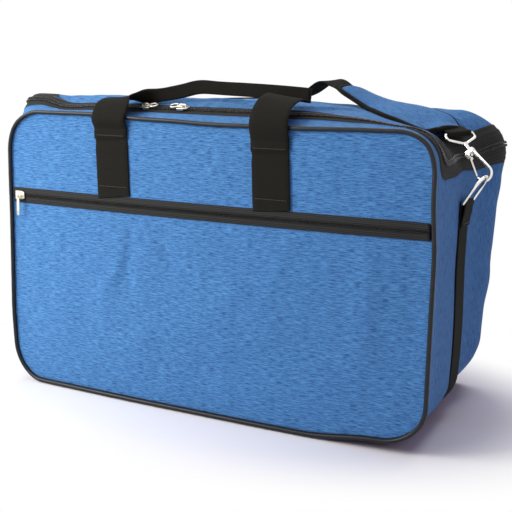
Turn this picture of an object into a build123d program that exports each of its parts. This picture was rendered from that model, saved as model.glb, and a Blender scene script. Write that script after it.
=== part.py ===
from build123d import *
import os
from math import asin, atan2, cos, degrees, hypot, radians, sin, sqrt

# Soft carrying bag for board game boxes: padded box body, zipped lid hinged along the
# back edge, zipped front pocket, two web handles and a clip-on shoulder strap.
# Millimetres. X is the long side, the front faces -Y, the bag rests on Z = 0.

# ---------------------------------------------------------------- driving sizes
bag_width = 600.0            # over the piping
bag_depth = 300.0            # front cloth to back cloth
front_height = 369.0         # floor to the top of the front piping
crown_height = 397.0         # floor to the middle of the padded lid
belly = 6.0                  # how far the loaded base sags below the side panels
base_seam = 20.0             # the base cloth wraps up round the corners to here
corner_radius = 48.0         # lower corners and the front panel's upper corners
shoulder_radius = 66.0       # the lid's rounded ends halfway along the depth
crown_rise = 30.0            # how far the lid's crown stands over those ends
waist = 5.0                  # how far the sides draw in halfway along the depth
zip_crown = 382.0            # floor to the cloth under the lid zip
zip_radius = 44.0            # the rounded ends where the zip runs
piping_radius = 2.8
piping_seat = 0.72           # piping centre stands this many radii off the corner seam

cloth = 1.0
foam = 6.0
lining = 1.0
wall = cloth + foam + lining
pocket_gap = 5.0
pocket_cloth = 1.5

zip_front = -118.0           # where the lid zip runs along the top
zip_height = 338.0           # where it runs back along the sides
zip_turn = 34.0              # radius of its bend between the two
zip_tape = 16.0              # each half of the tape
zip_clear = 0.2              # each coil stops this far from the middle of the chain
tape_thickness = 0.8
coil_width = 3.2
coil_height = 1.6
panel_to_zip = 8.0           # bare tape between the zip's middle and the padded panels
lid_back = 137.0             # the lid's padding stops here, in front of its hinge seam
hinge_front = 141.0

pocket_zip_height = 261.0
pocket_tape = 10.0
pocket_coil = 2.6

handle_web = 47.0
web_thickness = 2.0
handle_spacing = 226.0
handle_middle = -11.5        # the front handle sits a little left of the middle
handle_lean = -8.5           # sideways drift of each front tail from zip to top edge
tail_top = 354.0
back_fold = 2.5              # the back tails curl over this far above the handle's hinge line

strap_web = 38.0
ring_wire = 2.0
ring_half_width = 22.0
ring_bar = (294.8, 279.0)    # X and Z of the bar held in the side strap's loop
ring_far = (315.5, 312.8)    # X and Z of the far end, where the snap hook hangs on
hook_wire = 2.2
hook_bow = 9.5
gate_wire = 1.6
eye_wire = 1.8
eye_bar = (273.5, 20.0, 362.0)     # middle of the eye's bar, inside the strap's end loop
eye_turn = 60.0              # the bar's heading, in degrees from +X towards +Y
running = 0.06               # radial clearance of a pin in its hole
free = 0.3                   # space between pieces that move past each other

# ---------------------------------------------------------------- worked-out sizes
piping_out = piping_radius * piping_seat
half_width = bag_width / 2 - piping_radius - piping_out
half_depth = bag_depth / 2
front_top = front_height - piping_radius - piping_out
inner_front = -half_depth + pocket_cloth + pocket_gap + cloth + foam + lining
inner_back = half_depth - wall
reach = 400.0                # longer than the bag, for cutting blocks


def span(x0, x1, y0, y1, z0, z1):
    """A block between two corners."""
    return Pos((x0 + x1) / 2, (y0 + y1) / 2, (z0 + z1) / 2) * Box(x1 - x0, y1 - y0, z1 - z0)


def outline(y, inset, half, top, radius, rise):
    """The bag's cross-section at depth y: a box with round corners and a crowned top.

    The crown is one arc that stands rise above the upper corner arcs and runs smoothly
    into both. inset moves every side inward by the same amount.
    """
    side = half - radius
    centre_height = top - radius - rise
    crown = (side**2 + rise**2) / (2 * rise)
    lean = degrees(asin(side / crown))
    crown_centre = top - radius - crown
    r = radius - inset
    low = corner_radius - inset
    base = belly + inset
    wide = half - inset
    foot = half - corner_radius
    edges = [
        Line((-foot, base), (foot, base)),
        CenterArc((foot, belly + corner_radius), low, -90, 90),
        Line((wide, belly + corner_radius), (wide, centre_height)),
        CenterArc((side, centre_height), r, 0, 90 - lean),
        CenterArc((0, crown_centre), crown + r, 90 - lean, 2 * lean),
        CenterArc((-side, centre_height), r, 90 + lean, 90 - lean),
        Line((-wide, centre_height), (-wide, belly + corner_radius)),
        CenterArc((-foot, belly + corner_radius), low, 180, 90),
    ]
    return Plane.XZ.offset(-y) * Wire(edges)


def drawn_in(y):
    """How far the sides stand in from the front and back panels' edges at depth y."""
    return waist * (1 - (y / half_depth) ** 2)


def front_outline(y, inset):
    return outline(y, inset, half_width, front_top, corner_radius, 3)


def zip_outline(y, inset):
    """Where the zip runs: nearly straight across, so that its slider keeps on the chain."""
    return outline(y, inset, half_width - drawn_in(zip_front), zip_crown, zip_radius, 3)


def middle_outline(inset):
    return outline(0, inset, half_width - waist, crown_height, shoulder_radius, crown_rise)


def body_form(inset):
    """The whole bag as one pillowed block, drawn inward by inset."""
    ends = half_depth - inset
    return Solid.make_loft([front_outline(-ends, inset), zip_outline(zip_front, inset), middle_outline(inset),
                            zip_outline(-zip_front, inset), front_outline(ends, inset)])


def lid_block(offset, back):
    """Everything above and behind the zip's line, moved offset towards the lid."""
    low, front = zip_height + offset, zip_front + offset
    block = span(-reach, reach, front, back, low, 2 * reach)
    edge = block.edges().filter_by(Axis.X).sort_by(lambda e: e.center().Z + e.center().Y)[0]
    return fillet(edge, zip_turn - offset)


def plate(y0, y1, inset, z0=-reach, z1=2 * reach):
    """A flat layer of the front or back wall between two depths, cut to the outline."""
    face = Face(front_outline(y0, inset))
    slab = Solid.extrude(face, Vector(0, y1 - y0, 0))
    return slab & span(-reach, reach, y0 - 1, y1 + 1, z0, z1)


def ribbon(sections):
    """A strap through a row of rectangles: centre, across direction, width, thickness, normal."""
    wires = []
    for centre, across, normal, width, thick in sections:
        face_plane = Plane(origin=centre, x_dir=across, z_dir=Vector(*across).cross(Vector(*normal)))
        wires.append(face_plane * Wire(Rectangle(width, thick).wire().edges()))
    return Solid.make_loft(wires, ruled=True)


def save(name, shape):
    shape.label = name
    export_step(shape, "parts/" + name + ".step")


# ---------------------------------------------------------------- padded panels
def make_layers():
    """Nested skins of the bag's form, shared by the lid and the body."""
    forms = {depth: body_form(depth) for depth in (0, cloth, cloth + foam, wall)}
    outer = body_form(-tape_thickness)
    ridge = body_form(-tape_thickness - coil_height)
    return {
        "cloth": forms[0] - forms[cloth],
        "foam": forms[cloth] - forms[cloth + foam],
        "lining": forms[cloth + foam] - forms[wall],
        "hollow": forms[cloth + foam],
        "tape": outer - forms[0],
        "coil": ridge - outer,
    }


def make_lid(layers):
    lid = lid_block(panel_to_zip, lid_back)
    inner_lid = lid_block(panel_to_zip + cloth, lid_back - cloth)
    save("lid_panel", layers["cloth"] & lid)
    save("lid_foam", layers["foam"] & inner_lid)
    save("lid_lining", layers["lining"] & inner_lid)
    tape = layers["tape"] & (lid_block(zip_clear, lid_back) - lid_block(zip_tape, reach))
    coil = layers["coil"] & (lid_block(zip_clear, lid_back) - lid_block(coil_width, reach))
    save("lid_zip_tape", tape)
    save("lid_zip_coil", coil)


def make_body_zip(layers):
    behind = span(-reach, reach, -reach, lid_back, -reach, 2 * reach)
    inside = lid_block(-zip_clear, reach)
    save("body_zip_tape", layers["tape"] & behind & (lid_block(-zip_tape, reach) - inside))
    save("body_zip_coil", layers["coil"] & behind & (lid_block(-coil_width, reach) - inside))


def make_gusset(layers):
    """The band of cloth and foam round the sides and base, and the strips beside the lid."""
    seam = zip_height - panel_to_zip
    bend = belly + corner_radius
    mouth = lid_block(-panel_to_zip, hinge_front)
    band = layers["cloth"] & span(-reach, reach, -half_depth + cloth, half_depth - cloth, -reach, 2 * reach)
    band = band - mouth
    padding = layers["foam"] & span(-reach, reach, inner_front, inner_back, -reach, seam)
    for name, x0, x1 in (("left", -reach, 0), ("right", 0, reach)):
        save("side_panel_" + name, band & span(x0, x1, -reach, reach, base_seam, seam))
        save("side_foam_" + name, padding & span(x0, x1, -reach, reach, bend, seam))
    save("top_front_strip", band & span(-reach, reach, -reach, 0, seam, 2 * reach))
    save("lid_hinge_strip", band & span(-reach, reach, 0, reach, seam, 2 * reach))
    save("base_foam", padding & span(-reach, reach, -reach, reach, -reach, bend))
    base = band & span(-reach, reach, -reach, reach, -reach, base_seam)
    flat = 2 * (half_width - waist - corner_radius - web_thickness)
    foot = Rectangle(flat, bag_depth - 8 * cloth)
    sag = Rectangle(flat - 2 * belly, bag_depth - 8 * belly)
    bulge = loft([Pos(0, 0, belly) * fillet(foot.vertices(), belly), fillet(sag.vertices(), belly)])
    save("base_panel", base.fuse(bulge))
    board_half = half_width - waist - corner_radius
    board = span(-board_half, board_half, inner_front + 2, inner_back - 2, 0, 3)
    save("base_board", Pos(0, 0, belly + wall + 0.2) * board)
    skin = layers["lining"] & span(-reach, reach, inner_front - lining, inner_back + lining, -reach, seam)
    front_skin = layers["hollow"] & span(-reach, reach, inner_front - lining, inner_front, -reach, 2 * reach)
    back_skin = layers["hollow"] & span(-reach, reach, inner_back, inner_back + lining, -reach, 2 * reach)
    save("body_lining", skin.fuse(front_skin, back_skin))


def make_front_and_back():
    edge = cloth + 0.2
    front = -half_depth
    pocket_top = pocket_zip_height - 3
    save("pocket_panel", plate(front, front + pocket_cloth, edge, z1=pocket_top))
    save("front_yoke", plate(front, front + pocket_cloth, edge, z0=pocket_zip_height + 3))
    back_of_pocket = front + pocket_cloth + pocket_gap
    back_of_wall = back_of_pocket + cloth
    save("pocket_back_wall", plate(back_of_pocket, back_of_wall, edge + drawn_in(back_of_wall)))
    save("front_foam", plate(back_of_wall, back_of_wall + foam, edge + drawn_in(back_of_wall + foam)))
    back = half_depth
    save("back_panel", plate(back - cloth, back, edge))
    save("back_foam", plate(back - cloth - foam, back - cloth, edge + drawn_in(back - cloth - foam)))


def make_piping():
    """A cord bound into the seam all round the front and the back panel."""
    for name, side in (("front_piping", -1), ("back_piping", 1)):
        path = front_outline(side * (half_depth + piping_out), -piping_out)
        start = path @ 0
        section = Plane(origin=start, z_dir=path % 0) * Circle(piping_radius)
        save(name, sweep(section, path=path))


# ---------------------------------------------------------------- pocket zip
def make_pocket_zip():
    """Two tapes with their coils along the pocket's mouth, from side seam to side seam."""
    half = half_width - 4
    front = -half_depth - 0.1
    for name, side in (("upper", 1), ("lower", -1)):
        low = pocket_zip_height + side * zip_clear
        tape_edge = pocket_zip_height + side * (pocket_tape + zip_clear)
        coil_edge = pocket_zip_height + side * (pocket_coil + zip_clear)
        z0, z1 = sorted((low, tape_edge))
        save("pocket_zip_" + name + "_tape", span(-half, half, front - tape_thickness, front, z0, z1))
        z0, z1 = sorted((low, coil_edge))
        ridge = span(-half, half, front - tape_thickness - coil_height, front - tape_thickness, z0, z1)
        ridge = chamfer(ridge.edges().filter_by(Axis.X).sort_by(Axis.Y)[:2], coil_height / 3)
        save("pocket_zip_" + name + "_coil", ridge)


# ---------------------------------------------------------------- sliders and pulls
slider_length = 15.0
slider_width = 11.0
slider_plate = 1.3
bail_wire = 0.9
bail_rise = 3.2
crossbar = 0.8
slider_lift = tape_thickness + coil_height + 1.3   # under the top plate, above the cloth


def slider_shape():
    """A zip slider lying flat on the chain: narrow tail towards -X, shoulders towards +X.

    Flanges turn down outside the coils, and a bail stands over the plate for the pull.
    """
    half, wide, tail = slider_length / 2, slider_width / 2, slider_width * 0.38
    plan = Polyline((-half, tail), (-half * 0.3, wide), (half, wide), (half, -wide),
                    (-half * 0.3, -wide), (-half, -tail), close=True)
    top = extrude(Pos(0, 0, slider_lift) * make_face(plan), slider_plate)
    top = fillet(top.edges().filter_by(Axis.Z), 0.9)
    top = fillet(top.faces().sort_by(Axis.Z)[-1].edges(), 0.5)
    low = tape_thickness + 1.3
    flanges = [span(-half * 0.25, half * 0.9, side * wide - 0.4, side * wide + 0.4, low, slider_lift + 0.5)
               for side in (-0.92, 0.92)]
    foot, crest = slider_lift + slider_plate / 2, slider_lift + slider_plate + bail_rise
    arch = Polyline((-half * 0.6, 0, foot), (-half * 0.6, 0, crest), (half * 0.6, 0, crest), (half * 0.6, 0, foot))
    arch = fillet(arch.vertices().sort_by(Axis.Z)[-2:], 1.8)
    bail = sweep(Plane(origin=arch @ 0, z_dir=arch % 0) * Circle(bail_wire), path=arch)
    return top.fuse(bail, *flanges)


def ring_pull_shape():
    """A pull lying flat along +X: a crossbar under the bail, two arms and a round ring."""
    arm = bail_wire + 0.4 + crossbar
    reach_out, ring = 7.0, 5.6
    bar = Rot(90, 0, 0) * Cylinder(crossbar, 2 * arm + 2 * crossbar)
    arms = [Pos(reach_out / 2, side * arm, 0) * Rot(0, 90, 0) * Cylinder(crossbar, reach_out)
            for side in (-1, 1)]
    loop = Pos(reach_out + ring - 0.6, 0, 0) * Torus(ring, 1.0)
    return bar.fuse(loop, *arms)


def hanging_pull_shape():
    """A flat pull hanging along -Z from an eye threaded on a bail that runs along X."""
    eye_radius, tail_length, half = 2.0, 25.0, 2.1
    eye = Rot(0, 90, 0) * Torus(eye_radius, 0.7)
    tongue = Pos(0, 0, -eye_radius - tail_length / 2) * Box(2 * half, 1.3, tail_length)
    tongue = fillet(tongue.edges().filter_by(Axis.Y), half * 0.9)
    hole = Pos(0, 0, -tail_length + 2) * Rot(90, 0, 0) * Cylinder(0.9, 5)
    return eye.fuse(tongue - hole)


slider_left_at = -98.0
slider_right_at = -42.0
slider_end_left = -225.0
slider_end_right = 225.0
pocket_slider_at = -279.0


def on_top(form, x, y):
    """The point on the form's top at x, y and the way the surface faces there."""
    hits = form.find_intersection_points(Axis((x, y, 0), (0, 0, 1)))
    return max(hits, key=lambda hit: hit[0].Z)


def make_sliders():
    skin = body_form(0)
    for name, x, end in (("left", slider_left_at, slider_end_left), ("right", slider_right_at, slider_end_right)):
        start, normal = on_top(skin, x, zip_front)
        stop, _ = on_top(skin, end, zip_front)
        along = (start - stop).normalized()
        level = (normal - along * normal.dot(along)).normalized()
        seat = Plane(origin=start, x_dir=along, z_dir=level)
        pivot = seat * Pos(0, 0, slider_lift + slider_plate + 1.3)
        save("slider_" + name, seat * slider_shape())
        save("pull_" + name, pivot * ring_pull_shape())
        print("slider", name, "slides along", -along, "by", (start - stop).length,
              "pull turns about", seat.y_dir, "at", pivot.position)
    front = Plane(origin=(pocket_slider_at, -half_depth - 0.1, pocket_zip_height), x_dir=(-1, 0, 0), z_dir=(0, -1, 0))
    bail = front * Pos(0, 0, slider_lift + slider_plate + bail_rise)
    save("pocket_slider", front * slider_shape())
    save("pocket_pull", Pos(*bail.position) * hanging_pull_shape())
    print("pocket pull turns at", bail.position)


# ---------------------------------------------------------------- handles
def make_handles():
    """Web handles: tails sewn up the front and back panels, and a loop with a folded grip."""
    off = half_depth + web_thickness / 2 + 0.2
    low = pocket_zip_height + pocket_tape + 2
    proud = off + 2.2 * piping_radius
    hang = proud + 0.4
    fold = tail_top + back_fold
    for name, side in (("left", -1), ("right", 1)):
        foot_x = handle_middle + side * handle_spacing / 2
        top_x = foot_x + handle_lean
        save("front_handle_tail_" + name, ribbon([
            ((foot_x, -off, low), (1, 0, 0), (0, -1, 0), handle_web, web_thickness),
            ((top_x, -off, tail_top), (1, 0, 0), (0, -1, 0), handle_web, web_thickness),
        ]))
        turn = (hang - off) / 2
        curl = Pos(off + turn, fold) * (Circle(turn + web_thickness / 2) - Circle(turn - web_thickness / 2))
        curl = curl & Pos(off + turn, fold + turn) * Rectangle(4 * turn, 2 * turn)
        sewn = Pos(off, (low + fold) / 2) * Rectangle(web_thickness, fold - low)
        drop = Pos(hang, (fold + tail_top) / 2 + 0.75) * Rectangle(web_thickness, fold - tail_top - 1.5)
        tail = extrude(Plane.YZ * (sewn + curl + drop), handle_web / 2, both=True)
        save("back_handle_tail_" + name, Pos(side * handle_spacing / 2, 0, 0) * tail)
    left_x = handle_middle - handle_spacing / 2 + handle_lean
    right_x = left_x + handle_spacing
    start = tail_top + free
    grip_web, grip_thick = handle_web / 2, 3 * web_thickness
    save("front_handle_left_leg", ribbon([
        ((left_x, -off, start), (1, 0, 0), (0, -1, 0), handle_web, web_thickness),
        ((left_x, -proud, start + 11), (1, 0, 0), (0, -1, 0.1), handle_web, web_thickness),
        ((left_x + 2, -proud + 5, start + 23), (1, 0, 0.1), (0, -1, 1), handle_web, web_thickness),
        ((left_x + 28, -proud + 36, start + 45), (1, 0, 0.3), (0, -1, 0.6), 0.9 * handle_web, web_thickness),
        ((-66, -101, 410), (0.75, 0, 0.65), (0, -1, 0.3), 0.7 * handle_web, web_thickness),
        ((-26, -86, 414), (0.25, 0, 1), (0, -1, 0), grip_web, grip_thick),
    ]))
    save("front_handle_grip", ribbon([
        ((-25.7, -86, 414), (0.25, 0, 1), (0, -1, 0), grip_web, grip_thick),
        ((20, -84, 414), (0, 0, 1), (0, -1, 0), grip_web, grip_thick),
        ((62, -86, 411), (-0.1, 0, 1), (0, -1, 0), grip_web, grip_thick),
    ]))
    save("front_handle_right_leg", ribbon([
        ((62.3, -86, 411), (-0.1, 0, 1), (0, -1, 0), grip_web, grip_thick),
        ((100, -100, 411), (0.75, 0, 0.65), (0, -1, 0.3), 0.7 * handle_web, web_thickness),
        ((right_x + 16, -proud + 24, start + 45), (1, 0, 0.3), (0, -1, 0.6), 0.9 * handle_web, web_thickness),
        ((right_x + 2, -proud + 5, start + 23), (1, 0, 0.1), (0, -1, 1), handle_web, web_thickness),
        ((right_x, -proud, start + 11), (1, 0, 0), (0, -1, 0.1), handle_web, web_thickness),
        ((right_x, -off, start), (1, 0, 0), (0, -1, 0), handle_web, web_thickness),
    ]))
    half = handle_spacing / 2
    save("back_handle", ribbon([
        ((-half, hang, tail_top), (1, 0, 0), (0, 1, 0), handle_web, web_thickness),
        ((-half + 2, hang + 2, start - 12), (1, 0, 0.1), (0, 1, 0), handle_web, web_thickness),
        ((-half + 24, hang + 2, start - 55), (1, 0, 0.6), (0, 1, 0), 0.9 * handle_web, web_thickness),
        ((-half + 62, hang + 2, start - 91), (0.4, 0, 1), (0, 1, 0), grip_web, grip_thick),
        ((0, hang + 2, start - 97), (0, 0, 1), (0, 1, 0), grip_web, grip_thick),
        ((half - 62, hang + 2, start - 91), (-0.4, 0, 1), (0, 1, 0), grip_web, grip_thick),
        ((half - 24, hang + 2, start - 55), (-1, 0, 0.6), (0, 1, 0), 0.9 * handle_web, web_thickness),
        ((half - 2, hang + 2, start - 12), (-1, 0, 0.1), (0, 1, 0), handle_web, web_thickness),
        ((half, hang, tail_top), (-1, 0, 0), (0, 1, 0), handle_web, web_thickness),
    ]))


# ---------------------------------------------------------------- strap hardware
def eye_bar_direction():
    """The eye turns on its swivel, so its bar lies square to the hook's stem."""
    stem = Vector(*eye_bar) - Vector(ring_far[0], 0, ring_far[1])
    along, across = cos(radians(eye_turn)), sin(radians(eye_turn))
    return Vector(along, across, -(stem.X * along + stem.Y * across) / stem.Z).normalized()


def wire_loop(points, rounding, wire, plane):
    """Round wire bent into a closed loop through points with rounded corners."""
    bent = fillet(Polyline(*points, close=True).vertices(), rounding)
    path = plane * Wire(bent.edges())
    return sweep(Plane(origin=path @ 0, z_dir=path % 0) * Circle(wire), path=path)


def make_hardware():
    """D-ring, swivel snap hook, gate and eye at each end of the bag, mirrored left to right."""
    rise = Vector(ring_far[0] - ring_bar[0], 0, ring_far[1] - ring_bar[1])
    ring_plane = Plane(origin=(ring_bar[0], 0, ring_bar[1]), x_dir=(0, 1, 0), z_dir=Vector(0, 1, 0).cross(rise))
    w, tall = ring_half_width, rise.length
    dee = [Line((-w, 0), (w, 0)), Line((w, 0), (w, tall - w)), CenterArc((0, tall - w), w, 0, 180),
           Line((-w, tall - w), (-w, 0))]
    dee = Wire(dee)
    corners = dee.vertices().sort_by(Axis.Y)[:2]
    dee = ring_plane * dee.fillet_2d(2.8, corners)
    ring = sweep(Plane(origin=dee @ 0, z_dir=dee % 0) * Circle(ring_wire), path=dee)

    far = Vector(ring_far[0], 0, ring_far[1])
    stem = Vector(*eye_bar) - far
    length = stem.length
    level = Vector(0, 1, 0)
    hook_plane = Plane(origin=far, x_dir=stem, z_dir=level - stem * (level.dot(stem) / length**2))
    bow_centre = hook_bow - ring_wire - hook_wire - 0.4
    head_at, head_half = 36.0, 4.0
    aim = degrees(atan2(head_half, head_at - bow_centre))
    away = hypot(head_half, head_at - bow_centre)
    touch = aim + degrees(atan2(sqrt(away**2 - hook_bow**2), hook_bow))
    nose_turn = 262 - touch
    arm = Line((head_at + 1, head_half), (bow_centre + hook_bow * cos(radians(touch)), hook_bow * sin(radians(touch))))
    bend = CenterArc((bow_centre, 0), hook_bow, touch, nose_turn)
    bow_path = hook_plane * Wire([arm, bend])
    bow = sweep(Plane(origin=bow_path @ 0, z_dir=bow_path % 0) * Circle(hook_wire), path=bow_path)
    nose_ball = hook_plane * Pos(*(bend @ 1)) * Sphere(hook_wire)
    pivot = (head_at - 4.4, -head_half)
    ear_gap, ear = 2.1, 1.3
    head = Pos(head_at + 2.6, 0, 0) * Box(6.4, 2 * head_half + 4.6, 6.8)
    head = fillet(head.edges(), 1.4)
    for side in (-1, 1):
        blank = SlotCenterPoint(((pivot[0] + head_at + 1) / 2, pivot[1]), (head_at + 1, pivot[1]), 4.8)
        head = head.fuse(Pos(0, 0, side * (ear_gap + ear / 2)) * extrude(blank, ear / 2, both=True))
    pin = Pos(pivot[0], pivot[1], 0) * Cylinder(0.9, 2 * (ear_gap + ear))
    swivel, button = 1.2, 1.75
    bore = Pos(head_at + 3, 0, 0) * Rot(0, 90, 0) * Cylinder(swivel + running, 20)
    head = head.fuse(pin) - bore
    hook = bow.fuse(nose_ball, hook_plane * head)

    gate_tip = (bow_centre + hook_bow * 0.24, -hook_bow * 0.975)
    knuckle = Pos(pivot[0], pivot[1], 0) * Cylinder(2.3, 2 * ear_gap - 0.4)
    rod_line = Line(pivot, gate_tip)
    rod = sweep(Plane(origin=rod_line @ 0, z_dir=rod_line % 0) * Circle(gate_wire), path=rod_line)
    pin_hole = Pos(pivot[0], pivot[1], 0) * Cylinder(0.9 + running, 10)
    gate = hook_plane * (knuckle.fuse(rod) - pin_hole)

    bar_way = eye_bar_direction()
    eye_plane = Plane(origin=far, x_dir=bar_way, z_dir=bar_way.cross(stem))
    wide = strap_web / 2 + 4
    loop = wire_loop([(-wide, length), (wide, length), (wide, length - 8), (3.2, length - 15.5),
                      (-3.2, length - 15.5), (-wide, length - 8)], 2.2, eye_wire, eye_plane)
    stem_end = length - 15.5
    post = Pos((head_at - 2.6 + stem_end) / 2, 0, 0) * Rot(0, 90, 0) * Cylinder(swivel, stem_end - head_at + 2.6)
    cap = Pos(head_at - 1.9, 0, 0) * Rot(0, 90, 0) * Cylinder(button, 1.4)
    collar = Pos((head_at + 6.3 + stem_end) / 2, 0, 0) * Rot(0, 90, 0) * Cylinder(2.9, stem_end - head_at - 6.3)
    eye = loop.fuse(hook_plane * post.fuse(cap, collar))

    for name, shape in (("ring", ring), ("snap_hook", hook), ("hook_gate", gate), ("swivel_eye", eye)):
        save(name + "_right", shape)
        save(name + "_left", mirror(shape, Plane.YZ))
    gate_pivot = hook_plane.from_local_coords(Vector(*pivot))
    print("gate pivot", gate_pivot, "hook points along", hook_plane.x_dir)


# ---------------------------------------------------------------- webbing
def web_loop(wire, tail):
    """Webbing seen edge on: a turn round a wire at the origin, and the tail it is sewn back to."""
    inner = wire + 0.25
    outer = inner + web_thickness
    turn = Circle(outer) - Circle(inner)
    return turn + (make_face(Polyline(*tail, close=True)) - Circle(inner))


def make_side_straps():
    """Web sewn down the middle of each side and round the lower corner, with a loop on top."""
    skin = half_width - waist + 0.2
    x, z = ring_bar
    outer = ring_wire + 0.25 + web_thickness
    seam = z - 24
    side_of_bar = skin - x
    loop = Pos(x, z) * web_loop(ring_wire, [
        (side_of_bar, 0), (side_of_bar, seam - z), (side_of_bar + 2 * web_thickness, seam - z), (outer, 0),
        (outer * 0.7, 1)])
    bend = belly + corner_radius
    straight = Pos(skin + web_thickness / 2, (bend + seam + 2) / 2) * Rectangle(web_thickness, seam + 2 - bend)
    r = corner_radius + 0.2
    arc = Pos(skin - r, bend) * (Circle(r + web_thickness) - Circle(r))
    quarter = arc & Pos(skin, bend - r) * Rectangle(2 * r, 2 * r)
    strap = extrude(Plane.XZ * (loop + straight + quarter), strap_web / 2, both=True)
    save("side_strap_right", strap)
    save("side_strap_left", mirror(strap, Plane.YZ))


def strap_run(route, width, thick):
    """A length of strap along points on its underside: x, y, z, and the skew of its weft."""
    return ribbon([((x, y, z + thick / 2), (skew, 1, 0), (x / 700, 0, 1), width, thick)
                   for x, y, z, skew in route])


def make_shoulder_strap():
    """The strap over the lid at its shortest: doubled web, an adjuster, single web and a pad."""
    bar_way = eye_bar_direction()
    outer = eye_wire + 0.25 + web_thickness
    tail = 24.0
    heading = Vector(0, 0, 1).cross(bar_way) + Vector(0, 0, 0.2)
    heading = (heading - bar_way * heading.dot(bar_way)).normalized()
    loop_plane = Plane(origin=eye_bar, x_dir=-heading, z_dir=-bar_way)
    end = web_loop(eye_wire, [
        (-tail, 1.5), (-tail, 1.5 + 2 * web_thickness), (1, outer - 0.1), (0, 0), (-outer * 0.7, -outer * 0.7)])
    end = extrude(loop_plane * end, strap_web / 2, both=True)
    save("strap_end_right", end)
    save("strap_end_left", mirror(end, Plane.YZ))
    seam = Vector(*eye_bar) + heading * (tail + free)
    skew = bar_way.X / bar_way.Y
    over_lid = [(seam.X, seam.Y, seam.Z + 2, skew), (240, 35, 372, 0.45), (205, 42, 379.5, 0.3),
                (170, 49, 390.8, 0.22), (140, 55, 400.5, 0.2), (114, 60, 410.5, 0.2), (98, 63, 419, 0.15),
                (84, 65, 421, 0.1), (70, 67, 419.5, 0.1), (50, 69, 409, 0.05), (25, 71, 400, 0.02),
                (0, 72, 396.8, 0), (-40, 72, 396, 0), (-80, 70, 394.2, -0.1), (-120, 64, 391.2, -0.2),
                (-139, 60, 389.0, -0.25)]
    doubled = [(-160, 55, 386.9, -0.3), (-200, 46, 381.6, -0.35), (-235, 37, 374.8, -0.5),
               (-seam.X, seam.Y, seam.Z + 1.6, -skew)]
    save("strap_webbing", strap_run(over_lid, strap_web, web_thickness))
    save("strap_doubled_webbing", strap_run(doubled, strap_web, 2 * web_thickness))
    frame = Box(18, strap_web + 9, 3)
    frame = fillet(frame.edges().filter_by(Axis.Z), 3)
    slot = Box(4.5, strap_web + 1, 10)
    frame = frame - Pos(-4.2, 0, 0) * slot - Pos(4.2, 0, 0) * slot
    save("strap_adjuster", Pos(-149.5, 57.5, 390.2) * Rot(0, -6, 14) * frame)
    pad_width, pad_end = 2 * strap_web - 8, 2 * strap_web - 20
    pad_route = over_lid[1:6]
    pad_thickness = [3, 7, 7, 7, 3]
    pad_widths = [pad_end, pad_width, pad_width, pad_width, pad_end]
    save("shoulder_pad", ribbon([
        ((x, y, z + web_thickness + free + thick / 2), (weft, 1, 0), (x / 700, 0, 1), width, thick)
        for (x, y, z, weft), thick, width in zip(pad_route, pad_thickness, pad_widths)]))


os.makedirs("parts", exist_ok=True)
skins = make_layers()
make_lid(skins)
make_body_zip(skins)
make_gusset(skins)
make_front_and_back()
make_piping()
make_pocket_zip()
make_sliders()
make_handles()
make_hardware()
make_side_straps()
make_shoulder_strap()
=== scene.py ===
# %% [markdown]
# # A padded carrying bag for board games
# The bag is a soft box: padded panels of blue heather polyester, black piping round the
# front and back, a zipped lid, a zipped front pocket, webbing handles and a clip-on strap.
# The metal parts and the board come from the CAD frame. Everything sewn is built here.

# %% Load the frame
import math

import bpy
import numpy as np
from mathutils import Matrix, Vector


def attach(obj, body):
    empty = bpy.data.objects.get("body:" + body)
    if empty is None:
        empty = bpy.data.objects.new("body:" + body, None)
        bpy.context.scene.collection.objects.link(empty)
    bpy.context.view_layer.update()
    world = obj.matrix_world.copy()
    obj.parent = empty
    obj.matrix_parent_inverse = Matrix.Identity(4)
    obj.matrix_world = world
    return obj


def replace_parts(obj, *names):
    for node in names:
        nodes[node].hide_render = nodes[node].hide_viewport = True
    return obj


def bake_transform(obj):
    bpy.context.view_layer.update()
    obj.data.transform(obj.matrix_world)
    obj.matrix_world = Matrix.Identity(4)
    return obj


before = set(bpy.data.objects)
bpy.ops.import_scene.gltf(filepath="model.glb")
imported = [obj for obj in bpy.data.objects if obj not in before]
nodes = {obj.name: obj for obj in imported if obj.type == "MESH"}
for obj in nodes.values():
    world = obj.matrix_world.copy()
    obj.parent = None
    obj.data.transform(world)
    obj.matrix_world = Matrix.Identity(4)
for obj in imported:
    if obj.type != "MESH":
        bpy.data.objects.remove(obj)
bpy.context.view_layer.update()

# %% [markdown]
# ## Camera
# The bag is seen from the front and a little from the right, just above its lid. The
# distance and the lens give the same convergence as a short telephoto two bag lengths away.

# %% Camera
CAMERA_PLACE = (0.5926, -1.1547, 0.4145)
scene = bpy.context.scene
turn, tilt, roll = math.radians(26.97), math.radians(10.14), math.radians(1.355)
back = Vector((math.sin(turn) * math.cos(tilt), -math.cos(turn) * math.cos(tilt), math.sin(tilt)))
level = Vector((math.cos(turn), math.sin(turn), 0))
upright = back.cross(level)
across = math.cos(roll) * level + math.sin(roll) * upright
upright = math.cos(roll) * upright - math.sin(roll) * level
lens = bpy.data.cameras.new("camera")
lens.lens = 66.8
lens.sensor_width = 36
camera = bpy.data.objects.new("camera", lens)
facing = Matrix((across, upright, back)).transposed().to_4x4()
camera.matrix_world = Matrix.Translation(CAMERA_PLACE) @ facing
scene.collection.objects.link(camera)
scene.camera = camera

# %% [markdown]
# ## Shader groups
# Each group returns colours, masks or heights only. The Principled shader stays in the
# material. Cloth pieces carry a UV map in metres: U runs along the yarn, V across it.

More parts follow.
